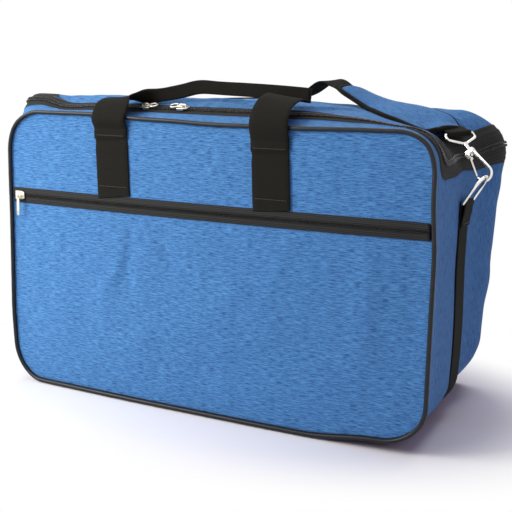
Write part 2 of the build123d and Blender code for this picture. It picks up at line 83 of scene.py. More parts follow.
# %% Node helpers
def new_group(name, inputs, outputs):
    """A shader group with its two ends, ready to be filled."""
    group = bpy.data.node_groups.new(name, "ShaderNodeTree")
    for label, kind, value in inputs:
        socket = group.interface.new_socket(name=label, in_out="INPUT", socket_type=kind)
        if value is not None:
            socket.default_value = value
    for label, kind in outputs:
        group.interface.new_socket(name=label, in_out="OUTPUT", socket_type=kind)
    return group, group.nodes.new("NodeGroupInput"), group.nodes.new("NodeGroupOutput")


def add(tree, kind, links=(), **settings):
    """Adds a node, sets its properties, and feeds its inputs with sockets or constants."""
    node = tree.nodes.new(kind)
    for key, value in settings.items():
        setattr(node, key, value)
    for index, value in dict(links).items():
        if isinstance(value, bpy.types.NodeSocket):
            tree.links.new(value, node.inputs[index])
        else:
            node.inputs[index].default_value = value
    return node


def ramp(tree, factor, stops):
    node = add(tree, "ShaderNodeValToRGB", {0: factor})
    marks = node.color_ramp.elements
    while len(marks) < len(stops):
        marks.new(0.5)
    for mark, (place, value) in zip(marks, stops):
        mark.position = place
        mark.color = value if hasattr(value, "__len__") else (value, value, value, 1)
    return node.outputs["Color"]


def mix_colour(tree, factor, one, two):
    node = add(tree, "ShaderNodeMix", {0: factor, 6: one, 7: two}, data_type="RGBA", blend_type="MIX")
    return node.outputs[2]


def maths(tree, operation, *values):
    return add(tree, "ShaderNodeMath", dict(enumerate(values)), operation=operation).outputs[0]


# %% [markdown]
# ### Heather cloth
# Heather yarn is spun from light and dark fibres, so the cloth shows short dark and pale
# flecks along the yarn. Two stretched noises make them; a third fades whole areas a little.

# %% Heather group
heather, start, end = new_group("heather", [
    ("Light", "NodeSocketColor", (0.1, 0.3, 0.7, 1)), ("Middle", "NodeSocketColor", (0.05, 0.2, 0.5, 1)),
    ("Dark", "NodeSocketColor", (0.02, 0.06, 0.2, 1)), ("Fleck", "NodeSocketFloat", 0.5)],
    [("Color", "NodeSocketColor"), ("Height", "NodeSocketFloat")])
cloth_uv = add(heather, "ShaderNodeUVMap", uv_map="cloth").outputs[0]
long_flecks, short_flecks, areas = (
    add(heather, "ShaderNodeMapping", {0: cloth_uv, 3: scale}).outputs[0]
    for scale in ((95, 1000, 1), (230, 1700, 1), (30, 380, 1)))
fleck, small, cloudy = (
    add(heather, "ShaderNodeTexNoise", {0: place, 2: 1.0, 3: detail, 4: rough}).outputs[0]
    for place, detail, rough in ((long_flecks, 3.0, 0.6), (short_flecks, 2.0, 0.6), (areas, 2.0, 0.5)))
dark_mask = ramp(heather, fleck, [(0.34, 1.0), (0.56, 0.0)])
dark_mask = maths(heather, "MULTIPLY", dark_mask, start.outputs["Fleck"])
pale_mask = ramp(heather, small, [(0.46, 0.0), (0.66, 1.0)])
area_mask = ramp(heather, cloudy, [(0.32, 0.1), (0.68, 0.9)])
body_tone = mix_colour(heather, area_mask, start.outputs["Middle"], start.outputs["Light"])
pale_tone = mix_colour(heather, pale_mask, body_tone, start.outputs["Light"])
heather.links.new(mix_colour(heather, dark_mask, pale_tone, start.outputs["Dark"]), end.inputs["Color"])
threads = add(heather, "ShaderNodeMapping", {0: cloth_uv, 3: (1100, 1500, 1)}).outputs[0]
weave = add(heather, "ShaderNodeTexChecker", {0: threads, 3: 1.0}).outputs[1]
height = maths(heather, "ADD", weave, small)
heather.links.new(height, end.inputs["Height"])

# %% [markdown]
# ### Webbing
# Nylon web is woven with ribs along its length and a fine herringbone across them. The
# selvedge on both edges is a denser cord, so it catches a thin line of light. The Sheen output
# is a painted sheen: it gives the crest of each rib a lighter base colour, a painted highlight.

# %% Webbing group
ribbing, start, end = new_group("ribbing", [
    ("Pitch", "NodeSocketFloat", 500.0)], [("Height", "NodeSocketFloat"), ("Sheen", "NodeSocketFloat")])
cloth_uv = add(ribbing, "ShaderNodeUVMap", uv_map="cloth").outputs[0]
parts = add(ribbing, "ShaderNodeSeparateXYZ", {0: cloth_uv})
rib = maths(ribbing, "MULTIPLY", parts.outputs[1], start.outputs["Pitch"])
rib = maths(ribbing, "PINGPONG", rib, 1.0)
slant = maths(ribbing, "MULTIPLY_ADD", parts.outputs[0], 900.0, rib)
pick = maths(ribbing, "PINGPONG", slant, 1.0)
web = maths(ribbing, "MULTIPLY_ADD", rib, 0.6, pick)
ribbing.links.new(web, end.inputs["Height"])
# Painted sheen: a mask that picks out the crest of each rib, used to lighten the base colour there.
ribbing.links.new(ramp(ribbing, rib, [(0.2, 0.0), (0.9, 1.0)]), end.inputs["Sheen"])

# %% [markdown]
# ## Finishes
# One material for each finish. Colours are the yarn's own, without light or shade, except on the
# webbing and zip tape, whose rib crests carry a painted sheen in their base colour.

# %% Materials
def material(name, rough=0.5, metal=0.0, shine=0.5):
    """A node material: returns the material, its tree and its Principled shader."""
    finish = bpy.data.materials.new(name)
    finish.use_nodes = True
    shader = finish.node_tree.nodes["Principled BSDF"]
    shader.inputs["Roughness"].default_value = rough
    shader.inputs["Metallic"].default_value = metal
    shader.inputs["Specular IOR Level"].default_value = shine
    return finish, finish.node_tree, shader


def bump(tree, shader, source, strength, depth):
    node = add(tree, "ShaderNodeBump", {"Strength": strength, "Distance": depth, "Height": source})
    tree.links.new(node.outputs[0], shader.inputs["Normal"])


def heather_material(name, light, middle, dark, fleck):
    """Heather cloth in three yarn colours. fleck is the strength of the dark flecks."""
    finish, tree, shader = material(name, rough=0.85, shine=0.2)
    yarn = add(tree, "ShaderNodeGroup", node_tree=heather)
    for label, colour in (("Light", light), ("Middle", middle), ("Dark", dark)):
        yarn.inputs[label].default_value = (*colour, 1)
    yarn.inputs["Fleck"].default_value = fleck
    tree.links.new(yarn.outputs["Color"], shader.inputs["Base Color"])
    shader.inputs["Sheen Weight"].default_value = 0.12
    shader.inputs["Sheen Roughness"].default_value = 0.5
    shader.inputs["Sheen Tint"].default_value = (0.55, 0.75, 1, 1)
    bump(tree, shader, yarn.outputs["Height"], 0.35, 0.0004)
    return finish


def web_material(name, dark, light, pitch, rough=0.65):
    finish, tree, shader = material(name, rough=rough, shine=0.12)
    ribs = add(tree, "ShaderNodeGroup", node_tree=ribbing)
    ribs.inputs["Pitch"].default_value = pitch
    # Painted sheen: the rib crests take the light tone and the hollows the dark one, a highlight painted
    # into the colour.
    tone = mix_colour(tree, ribs.outputs["Sheen"], (*dark, 1), (*light, 1))
    tree.links.new(tone, shader.inputs["Base Color"])
    bump(tree, shader, ribs.outputs["Height"], 0.5, 0.0006)
    return finish


def mottled_material(name, dark, light, rough, scale, metal=0.0, depth=0.0002, shine=0.5):
    """A finish with small changes of tone and gloss from a noise in object space."""
    finish, tree, shader = material(name, rough=rough, metal=metal, shine=shine)
    place = add(tree, "ShaderNodeTexCoord").outputs["Object"]
    noise = add(tree, "ShaderNodeTexNoise", {0: place, 2: scale, 3: 4.0, 4: 0.6}).outputs[0]
    tone = mix_colour(tree, ramp(tree, noise, [(0.35, 0.0), (0.65, 1.0)]), (*dark, 1), (*light, 1))
    tree.links.new(tone, shader.inputs["Base Color"])
    gloss = ramp(tree, noise, [(0.3, max(rough - 0.05, 0.02)), (0.7, rough + 0.08)])
    tree.links.new(gloss, shader.inputs["Roughness"])
    bump(tree, shader, noise, 0.3, depth)
    return finish


blue = heather_material("heather_cloth", (0.098, 0.295, 0.590), (0.048, 0.172, 0.405),
                        (0.012, 0.060, 0.190), 0.9)
base_cloth = heather_material("base_cloth", (0.030, 0.022, 0.024), (0.018, 0.014, 0.015),
                              (0.007, 0.006, 0.006), 0.5)
lining_cloth = heather_material("lining_cloth", (0.022, 0.022, 0.025), (0.014, 0.014, 0.016),
                                (0.006, 0.006, 0.007), 0.4)
# The second colour of the webbing and of the zip tape is the painted highlight on their rib crests.
webbing = web_material("webbing", (0.0085, 0.0082, 0.0060), (0.0145, 0.0140, 0.0105), 1350.0, rough=0.85)
tape_cloth = web_material("zip_tape", (0.0160, 0.0165, 0.0150), (0.0460, 0.0480, 0.0440), 900.0, rough=0.75)
piping_skin = mottled_material("piping", (0.006, 0.007, 0.009), (0.011, 0.013, 0.016), 0.38, 160, shine=0.3)
pocket_nylon = mottled_material("pocket_coil", (0.012, 0.011, 0.010), (0.020, 0.019, 0.018), 0.3, 300,
                                shine=0.4)
coil_nylon = mottled_material("zip_coil", (0.035, 0.033, 0.031), (0.060, 0.057, 0.053), 0.25, 300)
thread = mottled_material("thread", (0.07, 0.20, 0.44), (0.12, 0.30, 0.60), 0.55, 900)
dark_thread = mottled_material("dark_thread", (0.026, 0.024, 0.022), (0.050, 0.046, 0.042), 0.5, 900)
slider_metal = mottled_material("slider_metal", (0.76, 0.70, 0.58), (0.84, 0.80, 0.70), 0.34, 60,
                                metal=1.0, depth=0.00002)
chrome = mottled_material("chrome", (0.74, 0.71, 0.66), (0.86, 0.84, 0.80), 0.14, 90,
                          metal=1.0, depth=0.00005)
acetal = mottled_material("acetal", (0.010, 0.010, 0.011), (0.016, 0.016, 0.017), 0.4, 200)
board_finish = mottled_material("board", (0.015, 0.015, 0.016), (0.025, 0.025, 0.026), 0.7, 60)

# %% [markdown]
# ## Hardware finishes
# The rings, hooks, sliders and pulls keep their CAD shape and only take a finish.

# %% Finish the hard pieces
def paint(obj, finish):
    obj.data.materials.clear()
    obj.data.materials.append(finish)
    return obj


for name, node in nodes.items():
    if name.startswith(("ring_", "snap_hook", "hook_gate", "swivel_eye")):
        paint(node, chrome)
    elif name.startswith(("slider_", "pull_", "pocket_slider", "pocket_pull")):
        paint(node, slider_metal)
    elif name == "strap_adjuster":
        paint(node, acetal)
    elif name == "base_board":
        paint(node, board_finish)

# %% [markdown]
# ## The bag's form
# Five cross-sections stand along the depth: front seam, lid zip, middle, and the same again
# at the back. A smooth curve through them gives the padded block that all panels lie on.
# Millimetres are used until a mesh is made.

# %% Form
HALF, DEEP, BELLY, CORNER = 295.18, 150.0, 6.0, 48.0
STATIONS = np.array([-150.0, -118.0, 0.0, 118.0, 150.0])
WAIST = 5.0 * (1 - (STATIONS / DEEP) ** 2)
TOPS = np.array([364.18, 382.0, 397.0, 382.0, 364.18])
RADII = np.array([48.0, 44.0, 66.0, 44.0, 48.0])
RISES = np.array([3.0, 3.0, 30.0, 3.0, 3.0])


def curve_weights(knots, places):
    """Rows of weights that put a smooth curve through values given at the knots."""
    knots, places = np.asarray(knots, float), np.asarray(places, float)
    count, gap = len(knots), np.diff(knots)
    left, right = np.eye(count), np.zeros((count, count))
    for i in range(1, count - 1):
        left[i, i - 1:i + 2] = gap[i - 1], 2 * (gap[i - 1] + gap[i]), gap[i]
        right[i, i - 1:i + 2] = 6 / gap[i - 1], -6 / gap[i - 1] - 6 / gap[i], 6 / gap[i]
    bend = np.linalg.solve(left, right)
    j = np.clip(np.searchsorted(knots, places) - 1, 0, count - 2)
    h, a, b = gap[j], knots[j + 1] - places, places - knots[j]
    one = np.eye(count)
    return ((bend[j] * (a**3 / (6 * h))[:, None] + bend[j + 1] * (b**3 / (6 * h))[:, None])
            + (one[j] / h[:, None] - bend[j] * (h / 6)[:, None]) * a[:, None]
            + (one[j + 1] / h[:, None] - bend[j + 1] * (h / 6)[:, None]) * b[:, None])


def section(t, k, lift):
    """Station k's outline. t counts its parts: 0-1 base, 1-2 corner, 2-3 side, 3-4 shoulder,
    4-5 crown, then the same down the left side. t and 9 - t are mirror places."""
    half, top, radius, rise = HALF - WAIST[k], TOPS[k], RADII[k], RISES[k]
    side, foot = half - radius, half - CORNER
    crown = (side**2 + rise**2) / (2 * rise)
    lean = math.asin(side / crown)
    high, low = top - radius - rise, BELLY + CORNER
    t = np.mod(t, 8)
    part, f = np.floor(t).astype(int), t - np.floor(t)
    turns = [None, (-np.pi / 2 + f * np.pi / 2), None, f * (np.pi / 2 - lean),
             np.pi / 2 - lean + 2 * lean * f, np.pi / 2 + lean + f * (np.pi / 2 - lean),
             None, np.pi + f * np.pi / 2]
    centres = [None, (foot, low, CORNER), None, (side, high, radius),
               (0, top - radius - crown, crown + radius), (-side, high, radius),
               None, (-foot, low, CORNER)]
    x, z = np.zeros_like(t), np.zeros_like(t)
    for p in range(8):
        here = part == p
        if centres[p] is None:
            ends = {0: ((-foot, BELLY - lift), (foot, BELLY - lift)),
                    2: ((half + lift, low), (half + lift, high)),
                    6: ((-half - lift, high), (-half - lift, low))}[p]
            x[here] = ends[0][0] + (ends[1][0] - ends[0][0]) * f[here]
            z[here] = ends[0][1] + (ends[1][1] - ends[0][1]) * f[here]
        else:
            cx, cz, r = centres[p]
            x[here] = cx + (r + lift) * np.cos(turns[p][here])
            z[here] = cz + (r + lift) * np.sin(turns[p][here])
    return np.stack([x, z], -1)


def on_form(y, t, lift=0.0):
    """Points on the padded block: depth y, place t round the section, lifted off the cloth."""
    y, t = np.broadcast_arrays(np.asarray(y, float), np.asarray(t, float))
    shape, y, t = y.shape, y.ravel(), t.ravel()
    weight = curve_weights(STATIONS, np.clip(y, -DEEP, DEEP))
    lift = np.broadcast_to(lift, shape).ravel()
    steady = np.array([section(t, k, 0.0) for k in range(5)])
    raised = np.array([section(t, k, 1.0) for k in range(5)]) - steady
    flat = np.einsum("nk,knc->nc", weight, steady) + lift[:, None] * np.einsum("nk,knc->nc", weight, raised)
    return np.stack([flat[:, 0], y, flat[:, 1]], -1).reshape(shape + (3,))


def t_at_height(y, z):
    """Where the right-hand side of the section at depth y reaches height z."""
    y, z = np.broadcast_arrays(np.asarray(y, float), np.asarray(z, float))
    found, table = np.empty(y.shape), np.linspace(1.0, 4.5, 500)
    for depth in np.unique(y):
        here = y == depth
        found[here] = np.interp(z[here], on_form(depth, table)[:, 2], table)
    return found


print("crown", on_form(0.0, 4.5), "zip line", on_form(-118.0, 4.5))

# %% [markdown]
# ## How the bag settles
# A packed bag is never a true box. The front bellies out, the back a little less, and the side
# panels spread near the floor. What is packed lifts the lid's left front and right back corners.
# Every sewn piece goes through this one function, so seams that meet stay together.

# %% Settle
def fade(value, low, high):
    """0 below low, 1 above high, smooth between them."""
    f = np.clip((value - low) / (high - low), 0, 1)
    return f * f * (3 - 2 * f)


def ripples(a, b, seed, length, count=7):
    """A gentle uneven surface: a few long waves in random directions. length is in millimetres."""
    rng = np.random.default_rng(seed)
    total = np.zeros(np.broadcast(a, b).shape)
    for _ in range(count):
        heading, size = rng.uniform(0, np.pi), rng.uniform(0.6, 1.7) * length
        phase = rng.uniform(0, 2 * np.pi)
        total = total + np.sin(2 * np.pi * (a * np.cos(heading) + b * np.sin(heading)) / size + phase)
    return total / count


# How far the top stands above (or below) the true block: a row for each depth, a value for each X.
LIFT_X = [-290, -270, -253, -236, -192, -140, -100, -32, 18, 66, 105, 141, 167, 193, 224, 256, 290]
LIFT_Y = [-150, -126, -118, -110, -95, -60, -15, 20, 55, 92, 130, 150]
LIFT_Z = np.array([
    [12, 10.5, 10.6, 10.3, 9.6, 8.3, 5.5, 3.4, 1.5, 1.8, 1.9, 2.5, 3.5, 4.6, 5.6, 7, 13],
    [22, 12, 7, 2.8, 1.8, 1.6, 1.2, 0.5, 0, 0, 0, 0.6, 0, -0.6, -1.5, -3, 3],
    [28, 15, 8.5, 2.8, 1.8, 1.6, 1.2, 0.4, 0, 0, 0, 0, -0.6, -1.8, -5, -7.5, -2],
    [34, 19, 11.5, 5.5, 3.4, 3, 2.2, 0.8, 0.8, 1, 1.4, 0.6, -1.2, -3.8, -8.5, -11.5, -6],
    [34, 20, 14, 11.5, 9.5, 8, 5.5, 2.2, 1.2, 1, 0.5, -0.5, -1.8, -3.8, -8, -11.5, -6],
    [25, 15, 11.5, 9.5, 8, 6, 3.6, 1, 0, 0, -0.5, -1, -1.8, -3.2, -6.5, -9, -5],
    [8, 5, 3, 2.6, 2, 1.2, 0.6, 0, 0, 0, 0, 0, -0.6, -1.5, -4, -6.5, -4],
    [0, 0, 0, 0, 0, 0, 0, 0, 0, 0, 0, 0, -0.3, -0.8, -2.5, -4, -3],
    [0] * 17,
    [2, 1, 0, 0, 0, 0, 0, 0, 0, 0, 0, 1, 2.5, 4.5, 6, 6.5, 9],
    [3, 2, 1, 0, 0, 0, 0, 0, 0, 0, 0, 1, 3, 5, 6.5, 7, 9],
    [2, 1, 0, 0, 0, 0, 0, 0, 0, 0, 0, 0, 1, 2.5, 4, 5, 7]], float)


def top_lift(x, y):
    """The lift of the top at places seen from above, smooth between the table's values."""
    rows = curve_weights(LIFT_Y, np.clip(y.ravel(), -150, 150))
    columns = curve_weights(LIFT_X, np.clip(x.ravel(), -290, 290))
    return np.einsum("nr,rc,nc->n", rows, LIFT_Z, columns).reshape(x.shape)


# The right end near the back seam: at each height, how far the side stands out and the seam is drawn in.
END_Z = [0, 30, 50, 70, 90, 110, 130, 150, 170, 190, 210, 230, 250, 270, 290, 310, 330, 350, 400]
END_OUT = np.array([0, 5, 8, 11.5, 10.5, 9, 8, 9.5, 10.5, 9.5, 11, 12, 13, 14, 16, 13, 12.5, 7, 0], float)
SEAM_IN = np.array([5, 4, 5, 5, 6, 7, 8, 7, 6.5, 6.5, 6, 5, 4, 2.5, 1, 2.5, 1, 0, 0], float)


def at_height(values, z):
    """Values given at END_Z, smooth between them."""
    return (curve_weights(END_Z, np.clip(z.ravel(), 0, 400)) @ values).reshape(z.shape)


def settle(points):
    """Moves points of the true block to where the loaded cloth lies. Millimetres."""
    p = np.array(points, float)
    x, y, z = p[..., 0].copy(), p[..., 1].copy(), p[..., 2].copy()
    # The front and the back belly out between their seams.
    wide = np.clip(1 - (x / 284) ** 2, 0, 1)
    tall = np.clip(1 - ((z - 150) / 212) ** 2, 0, 1)
    front = fade(-y, 70, 150)
    rear = fade(y, 70, 150)
    bowed = np.clip(1 - (x / 276) ** 2, 0, 1) ** 0.8
    p[..., 1] += -front * bowed * tall * (12 + 1.5 * ripples(x, z, 3, 210))
    p[..., 1] += rear * wide * tall * (8 + 1.5 * ripples(x, z, 5, 210))
    # The side panels swell low down, and spread at the front seam.
    side = fade(np.abs(x), 230, 295) * np.sign(x)
    low = np.exp(-(((z - 75) / 75) ** 2))
    middle = 1 - 0.5 * (y / DEEP) ** 2
    free_of_rings = 1 - np.exp(-((y / 45) ** 2)) * fade(z, 170, 260)
    belly = 3.5 * low * middle + 1.6 * ripples(y, z, 7, 150) * (1 - (y / DEEP) ** 2) * free_of_rings
    spread = np.where(x > 0, 4.5, -1.0 - 4.0 * (1 - fade(z, 30, 110))) * (1 - fade(z, 225, 305))
    seam = fade(-y, 95, 150)
    p[..., 0] += side * (belly * (1 - seam) + spread * seam)
    # Near the back the ends stand out, and the right one draws its seam in.
    upright = fade(z, 20, 110) * (1 - fade(z, 290, 340))
    standing = np.where(x > 0, at_height(END_OUT, z), 9 * upright) * (1 - fade(y, 118, 150))
    p[..., 0] += side * standing * np.exp(-(((y - 104) / 42) ** 2))
    p[..., 0] -= fade(x, 230, 295) * at_height(SEAM_IN, z) * fade(y, 108, 150)
    # The zip's corners: the left front one pokes out, the right back one stands square.
    left_end = fade(-x, 235, 288) * fade(z, 335, 362) * fade(-y, 25, 85) * (1 - fade(-y, 126, 149))
    p[..., 0] -= 7.5 * left_end
    square = fade(y, 55, 125) * fade(x, 250, 290) * fade(z, 280, 330) * (1 - fade(z, 350, 380))
    p[..., 0] += 7.0 * square
    # Low down, the right end tucks in towards the back and its front corner lifts.
    tucked = fade(y, -60, 130) * fade(x, 235, 290)
    p[..., 0] -= 15.0 * tucked * (1 - fade(z, 20, 195))
    p[..., 2] += 9.0 * tucked * (1 - fade(z, 20, 125))
    inner = 50 + 88 * (1 - fade(z, 4, 30))
    p[..., 2] += 9.0 * fade(-y, inner, 150) * fade(x, 150, 250) * (1 - fade(z, 15, 140))
    # The top follows its table, with a few slack waves. The base lies flat on the floor.
    p[..., 2] += top_lift(x, y) * fade(z, 278, 348)
    calm = 1 - np.exp(-(((y - 55) / 40) ** 2))
    p[..., 2] += 1.8 * fade(z, 378, 392) * fade(y, -105, -60) * calm * ripples(x, y, 11, 170) * wide
    flat = np.clip(1 - (np.abs(x) / 262) ** 4, 0, 1) * np.clip(1 - (np.abs(y) / 148) ** 4, 0, 1)
    p[..., 2] -= np.where(z < 7, flat * BELLY, 0.0)
    p[..., 2] = np.maximum(p[..., 2], 0.3)
    return p


# %% [markdown]
# ## Making cloth
# A panel is a grid of points with a second skin behind it, so it has the cloth's real
# thickness and closed edges. Its UV map is measured along the grid, in metres.

# %% Cloth from grids
def normals_of(grid):
    du, dv = np.gradient(grid, axis=0), np.gradient(grid, axis=1)
    n = np.cross(du, dv)
    return n / np.maximum(np.linalg.norm(n, axis=-1, keepdims=True), 1e-9)


def unit(vectors):
    return vectors / np.linalg.norm(vectors, axis=1, keepdims=True)


def run_length(path):
    """Distance along a line of points, from its first."""
    return np.concatenate([[0], np.cumsum(np.linalg.norm(np.diff(path, axis=0), axis=1))])


def arc(grid, axis):
    """Distance along one axis of the grid, averaged over the other, in millimetres."""
    step = np.linalg.norm(np.diff(grid, axis=axis), axis=-1)
    total = np.concatenate([[0], np.cumsum(step.mean(axis=1 - axis))])
    return total - total[len(total) // 2]


def mesh_object(name, points, faces, finish, uv=None, smooth=True):
    """A mesh from millimetre points. uv holds one pair for each point."""
    mesh = bpy.data.meshes.new(name)
    mesh.from_pydata((np.asarray(points) * 0.001).tolist(), [], faces)
    if uv is not None:
        layer = mesh.uv_layers.new(name="cloth")
        corner = np.zeros(len(mesh.loops), int)
        mesh.loops.foreach_get("vertex_index", corner)
        layer.data.foreach_set("uv", (np.asarray(uv)[corner] * 0.001).ravel())
    mesh.polygons.foreach_set("use_smooth", [smooth] * len(mesh.polygons))
    mesh.update()
    obj = bpy.data.objects.new(name, mesh)
    scene.collection.objects.link(obj)
    mesh.materials.append(finish)
    return obj


def skin_faces(rows, cols):
    """Faces of a closed skin: the outer grid, the inner one behind it, and the rim that joins them."""
    count = rows * cols
    index = np.arange(count).reshape(rows, cols)
    a, b = index[:-1, :-1].ravel(), index[1:, :-1].ravel()
    c, d = index[1:, 1:].ravel(), index[:-1, 1:].ravel()
    outer, inner = np.stack([a, b, c, d], -1), np.stack([d, c, b, a], -1) + count
    rim = np.concatenate([index[0, :], index[1:, -1], index[-1, -2::-1], index[-2:0:-1, 0]])
    following = np.roll(rim, -1)
    joined = np.stack([rim, following, following + count, rim + count], -1)
    return np.concatenate([outer, inner, joined]).tolist()


surfaces = {}


def sewn_panel(name, grid, thick, finish, yarn=None):
    """A cloth panel from a grid whose outer side faces its normals. yarn names the two axes of a
    straight-cut piece's weave; without it the weave follows the grid."""
    grid = settle(grid)
    inner = grid - normals_of(grid) * thick
    along, over = arc(grid, 1), arc(grid, 0)
    u, v = np.meshgrid(along, over)
    flat_uv = np.stack([u, v], -1).reshape(-1, 2) if yarn is None else grid.reshape(-1, 3)[:, list(yarn)]
    surfaces[name] = grid
    points = np.concatenate([grid.reshape(-1, 3), inner.reshape(-1, 3)])
    return mesh_object(name, points, skin_faces(*grid.shape[:2]), finish, np.concatenate([flat_uv, flat_uv]))


def end_spaced(low, high, count):
    """Numbers from low to high that crowd towards both ends, for tight corners."""
    f = np.linspace(0, 1, count)
    return low + (high - low) * (0.75 * (0.5 - 0.5 * np.cos(np.pi * f)) + 0.25 * f)


MIDDLE = np.array([0, 0, 190.0])     # a point inside the bag, to tell outward from inward


def facing_out(grid):
    """Turns a grid over if its normals point into the bag."""
    away = (grid - MIDDLE) * normals_of(grid)
    return grid if away.sum() > 0 else grid[:, ::-1]


# %% [markdown]
# ## Front and back panels
# Both are flat pieces cut to a rounded rectangle. The pocket zip splits the front into a tall
# pocket panel and a yoke. Padding and slack cloth make each one round off towards its seams.

# %% Front and back panels
def panel_low(x, inset):
    r = CORNER - inset
    over = np.clip(np.abs(x) - (HALF - CORNER), 0, r)
    return BELLY + CORNER - np.sqrt(r**2 - over**2)


def panel_high(x, inset):
    r = CORNER - inset
    side = HALF - CORNER
    crown = (side**2 + 9) / 6
    over = np.clip(np.abs(x) - side, 0, r)
    arch = TOPS[0] - CORNER - crown + np.sqrt(np.clip((crown + r) ** 2 - x**2, 0, None))
    corner = TOPS[0] - CORNER - 3 + np.sqrt(r**2 - over**2)
    return np.where(np.abs(x) < side, arch, corner)


def flat_panel(depth, low=None, high=None, rows=60, cols=150, inset=-1.2):
    x = end_spaced(-(HALF - inset), HALF - inset, cols)
    bottom = panel_low(x, inset) if low is None else np.full_like(x, low)
    top = panel_high(x, inset) if high is None else np.full_like(x, high)
    f = np.linspace(0, 1, rows)[:, None]
    z = bottom + (top - bottom) * f
    return facing_out(np.stack([np.broadcast_to(x, z.shape), np.full_like(z, depth), z], -1))


def edge_distance(grid):
    """How far each point lies from the nearest edge of its panel, in millimetres."""
    def walk(axis):
        step = np.linalg.norm(np.diff(grid, axis=axis), axis=-1)
        pad = [(1, 0), (0, 0)] if axis == 0 else [(0, 0), (1, 0)]
        total = np.pad(np.cumsum(step, axis=axis), pad)
        full = total[-1:, :] if axis == 0 else total[:, -1:]
        return np.minimum(total, full - total)
    return np.minimum(walk(0), walk(1))


def soft_folds(grid, amount, seed, roll=0.0):
    """Slack cloth hangs in faint upright folds that die out at the seams. roll turns its edges in."""
    away = edge_distance(grid)
    x, y, z = grid[..., 0], grid[..., 1], grid[..., 2]
    upright = ripples(x + 0.6 * y, z * 0.14, seed, 44, 9) + 0.7 * ripples(x + y, z, seed + 1, 110)
    lift = amount * fade(away, 4, 60) * upright - roll * (1 - fade(away, 0, 7))
    return grid + normals_of(grid) * lift[..., None]


# Long soft folds on the pocket: X, Z at the middle, lean from upright, half length, half width, height.
POCKET_FOLDS = [(-98, 196, 0.16, 62, 8, -2.6), (-120, 168, 0.5, 46, 9, 2.2), (-40, 206, -0.3, 50, 12, -2.0),
                (38, 150, 0.75, 70, 16, 2.0), (-180, 120, -0.6, 60, 16, -1.8), (120, 205, 0.35, 45, 13, 1.8),
                (170, 110, -0.9, 70, 18, -1.8), (-215, 205, 0.2, 40, 12, 1.6), (60, 70, 1.2, 80, 15, -1.6),
                (225, 170, 0.1, 70, 14, 1.6), (-70, 90, 1.0, 60, 16, 1.6)]


def slack(grid, folds, amount, seed):
    """Soft folds, with single long ones laid over them."""
    grid = soft_folds(grid, amount, seed)
    x, z = grid[..., 0], grid[..., 2]
    lift = np.zeros(x.shape)
    for fx, fz, lean, length, width, height in folds:
        along = (x - fx) * math.sin(lean) + (z - fz) * math.cos(lean)
        over = (x - fx) * math.cos(lean) - (z - fz) * math.sin(lean) + 0.002 * along**2
        lift += height * np.exp(-((along / length) ** 2) - (over / width) ** 2)
    return grid + normals_of(grid) * (lift * fade(edge_distance(grid), 3, 30))[..., None]


POCKET_ZIP = 261.0
ZIP_GAP = 8.0                        # bare tape on each side of the pocket zip
pocket_grid = slack(flat_panel(-DEEP, high=POCKET_ZIP - ZIP_GAP), POCKET_FOLDS, 1.3, 21)
yoke_grid = soft_folds(flat_panel(-DEEP, low=POCKET_ZIP + ZIP_GAP, rows=34), 1.0, 23)
rear_grid = soft_folds(flat_panel(DEEP, rows=80), 1.6, 25)
pocket = sewn_panel("pocket_panel_cloth", pocket_grid, 1.4, blue, yarn=(0, 2))
yoke = sewn_panel("yoke_cloth", yoke_grid, 1.4, blue, yarn=(0, 2))
rear = sewn_panel("back_cloth", rear_grid, 1.2, blue, yarn=(0, 2))
pocket_wall = sewn_panel("pocket_wall_cloth", flat_panel(-DEEP + 7.0, inset=4), 0.9, lining_cloth)
front_liner = sewn_panel("front_lining", flat_panel(-DEEP + 14.5, inset=8)[:, ::-1], 0.8, lining_cloth)
back_liner = sewn_panel("back_lining", flat_panel(DEEP - 8.0, inset=8)[:, ::-1], 0.8, lining_cloth)
for piece, covered, finish in (
        (pocket, ["pocket_panel"], "heather_cloth"), (yoke, ["front_yoke"], "heather_cloth"),
        (rear, ["back_panel"], "heather_cloth"), (pocket_wall, ["pocket_back_wall"], "lining"),
        (front_liner, ["front_foam"], "lining"), (back_liner, ["back_foam"], "lining")):
    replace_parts(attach(piece, "shell"), *covered)
print("front, yoke and back panels made")

# %% [markdown]
# ## Sides, base and lid
# A band of cloth runs round the sides and under the base. The lid is cut by the zip, which
# runs level along both ends, bends up at the front corners and crosses the top.

# %% Sides, base and lid
ZIP_FRONT, ZIP_SIDE, TURN = -118.0, 338.0, 34.0
BEND = (ZIP_FRONT + TURN, ZIP_SIDE + TURN)
SEAM = 150.4                         # depth of the seams under the piping
BAND_LOW, BAND_TOP = 20.0, 330.0     # the side panels reach from the base seam to the zip
STRIP_TURN = 42.0                    # radius of the top strip's corners, beside the zip's bend


def between(y, t_edge, cols):
    """Rows across the bag from the right-hand t_edge over the crown to its mirror place."""
    s = end_spaced(0.0, 1.0, cols)
    t = t_edge[:, None] + s[None, :] * (9 - 2 * t_edge)[:, None]
    return t, np.broadcast_to(y[:, None], (len(y), cols))


def side_grid(sign, rows=90, cols=96):
    y = end_spaced(-SEAM, SEAM, rows)
    first, last = t_at_height(y, BAND_LOW), t_at_height(y, BAND_TOP)
    t = first[:, None] + (last - first)[:, None] * np.linspace(0, 1, cols)
    grid = on_form(y[:, None], t)
    grid[..., 0] *= sign
    return facing_out(grid)


def lid_edge(y, offset):
    """The t where the lid's cut lies on the bag's end at depth y, offset above the zip."""
    r = TURN - offset
    inside = np.clip(BEND[0] - y, 0, r)
    return t_at_height(y, BEND[1] - np.sqrt(r**2 - inside**2))


def lid_cut(y):
    """How far above the zip the blue cloth of the lid ends: more tape shows at the corners."""
    return np.interp(y, [-118, -109, -97, -78, -45, -5, 38, 93, 138], [8, 8, 17, 20, 17.5, 12, 8.5, 14, 22])


LID_CREASE = [(-70, -62), (-10, -74), (39, -89), (85, -98), (112, -98), (136, -87), (146, -55), (148, -20)]


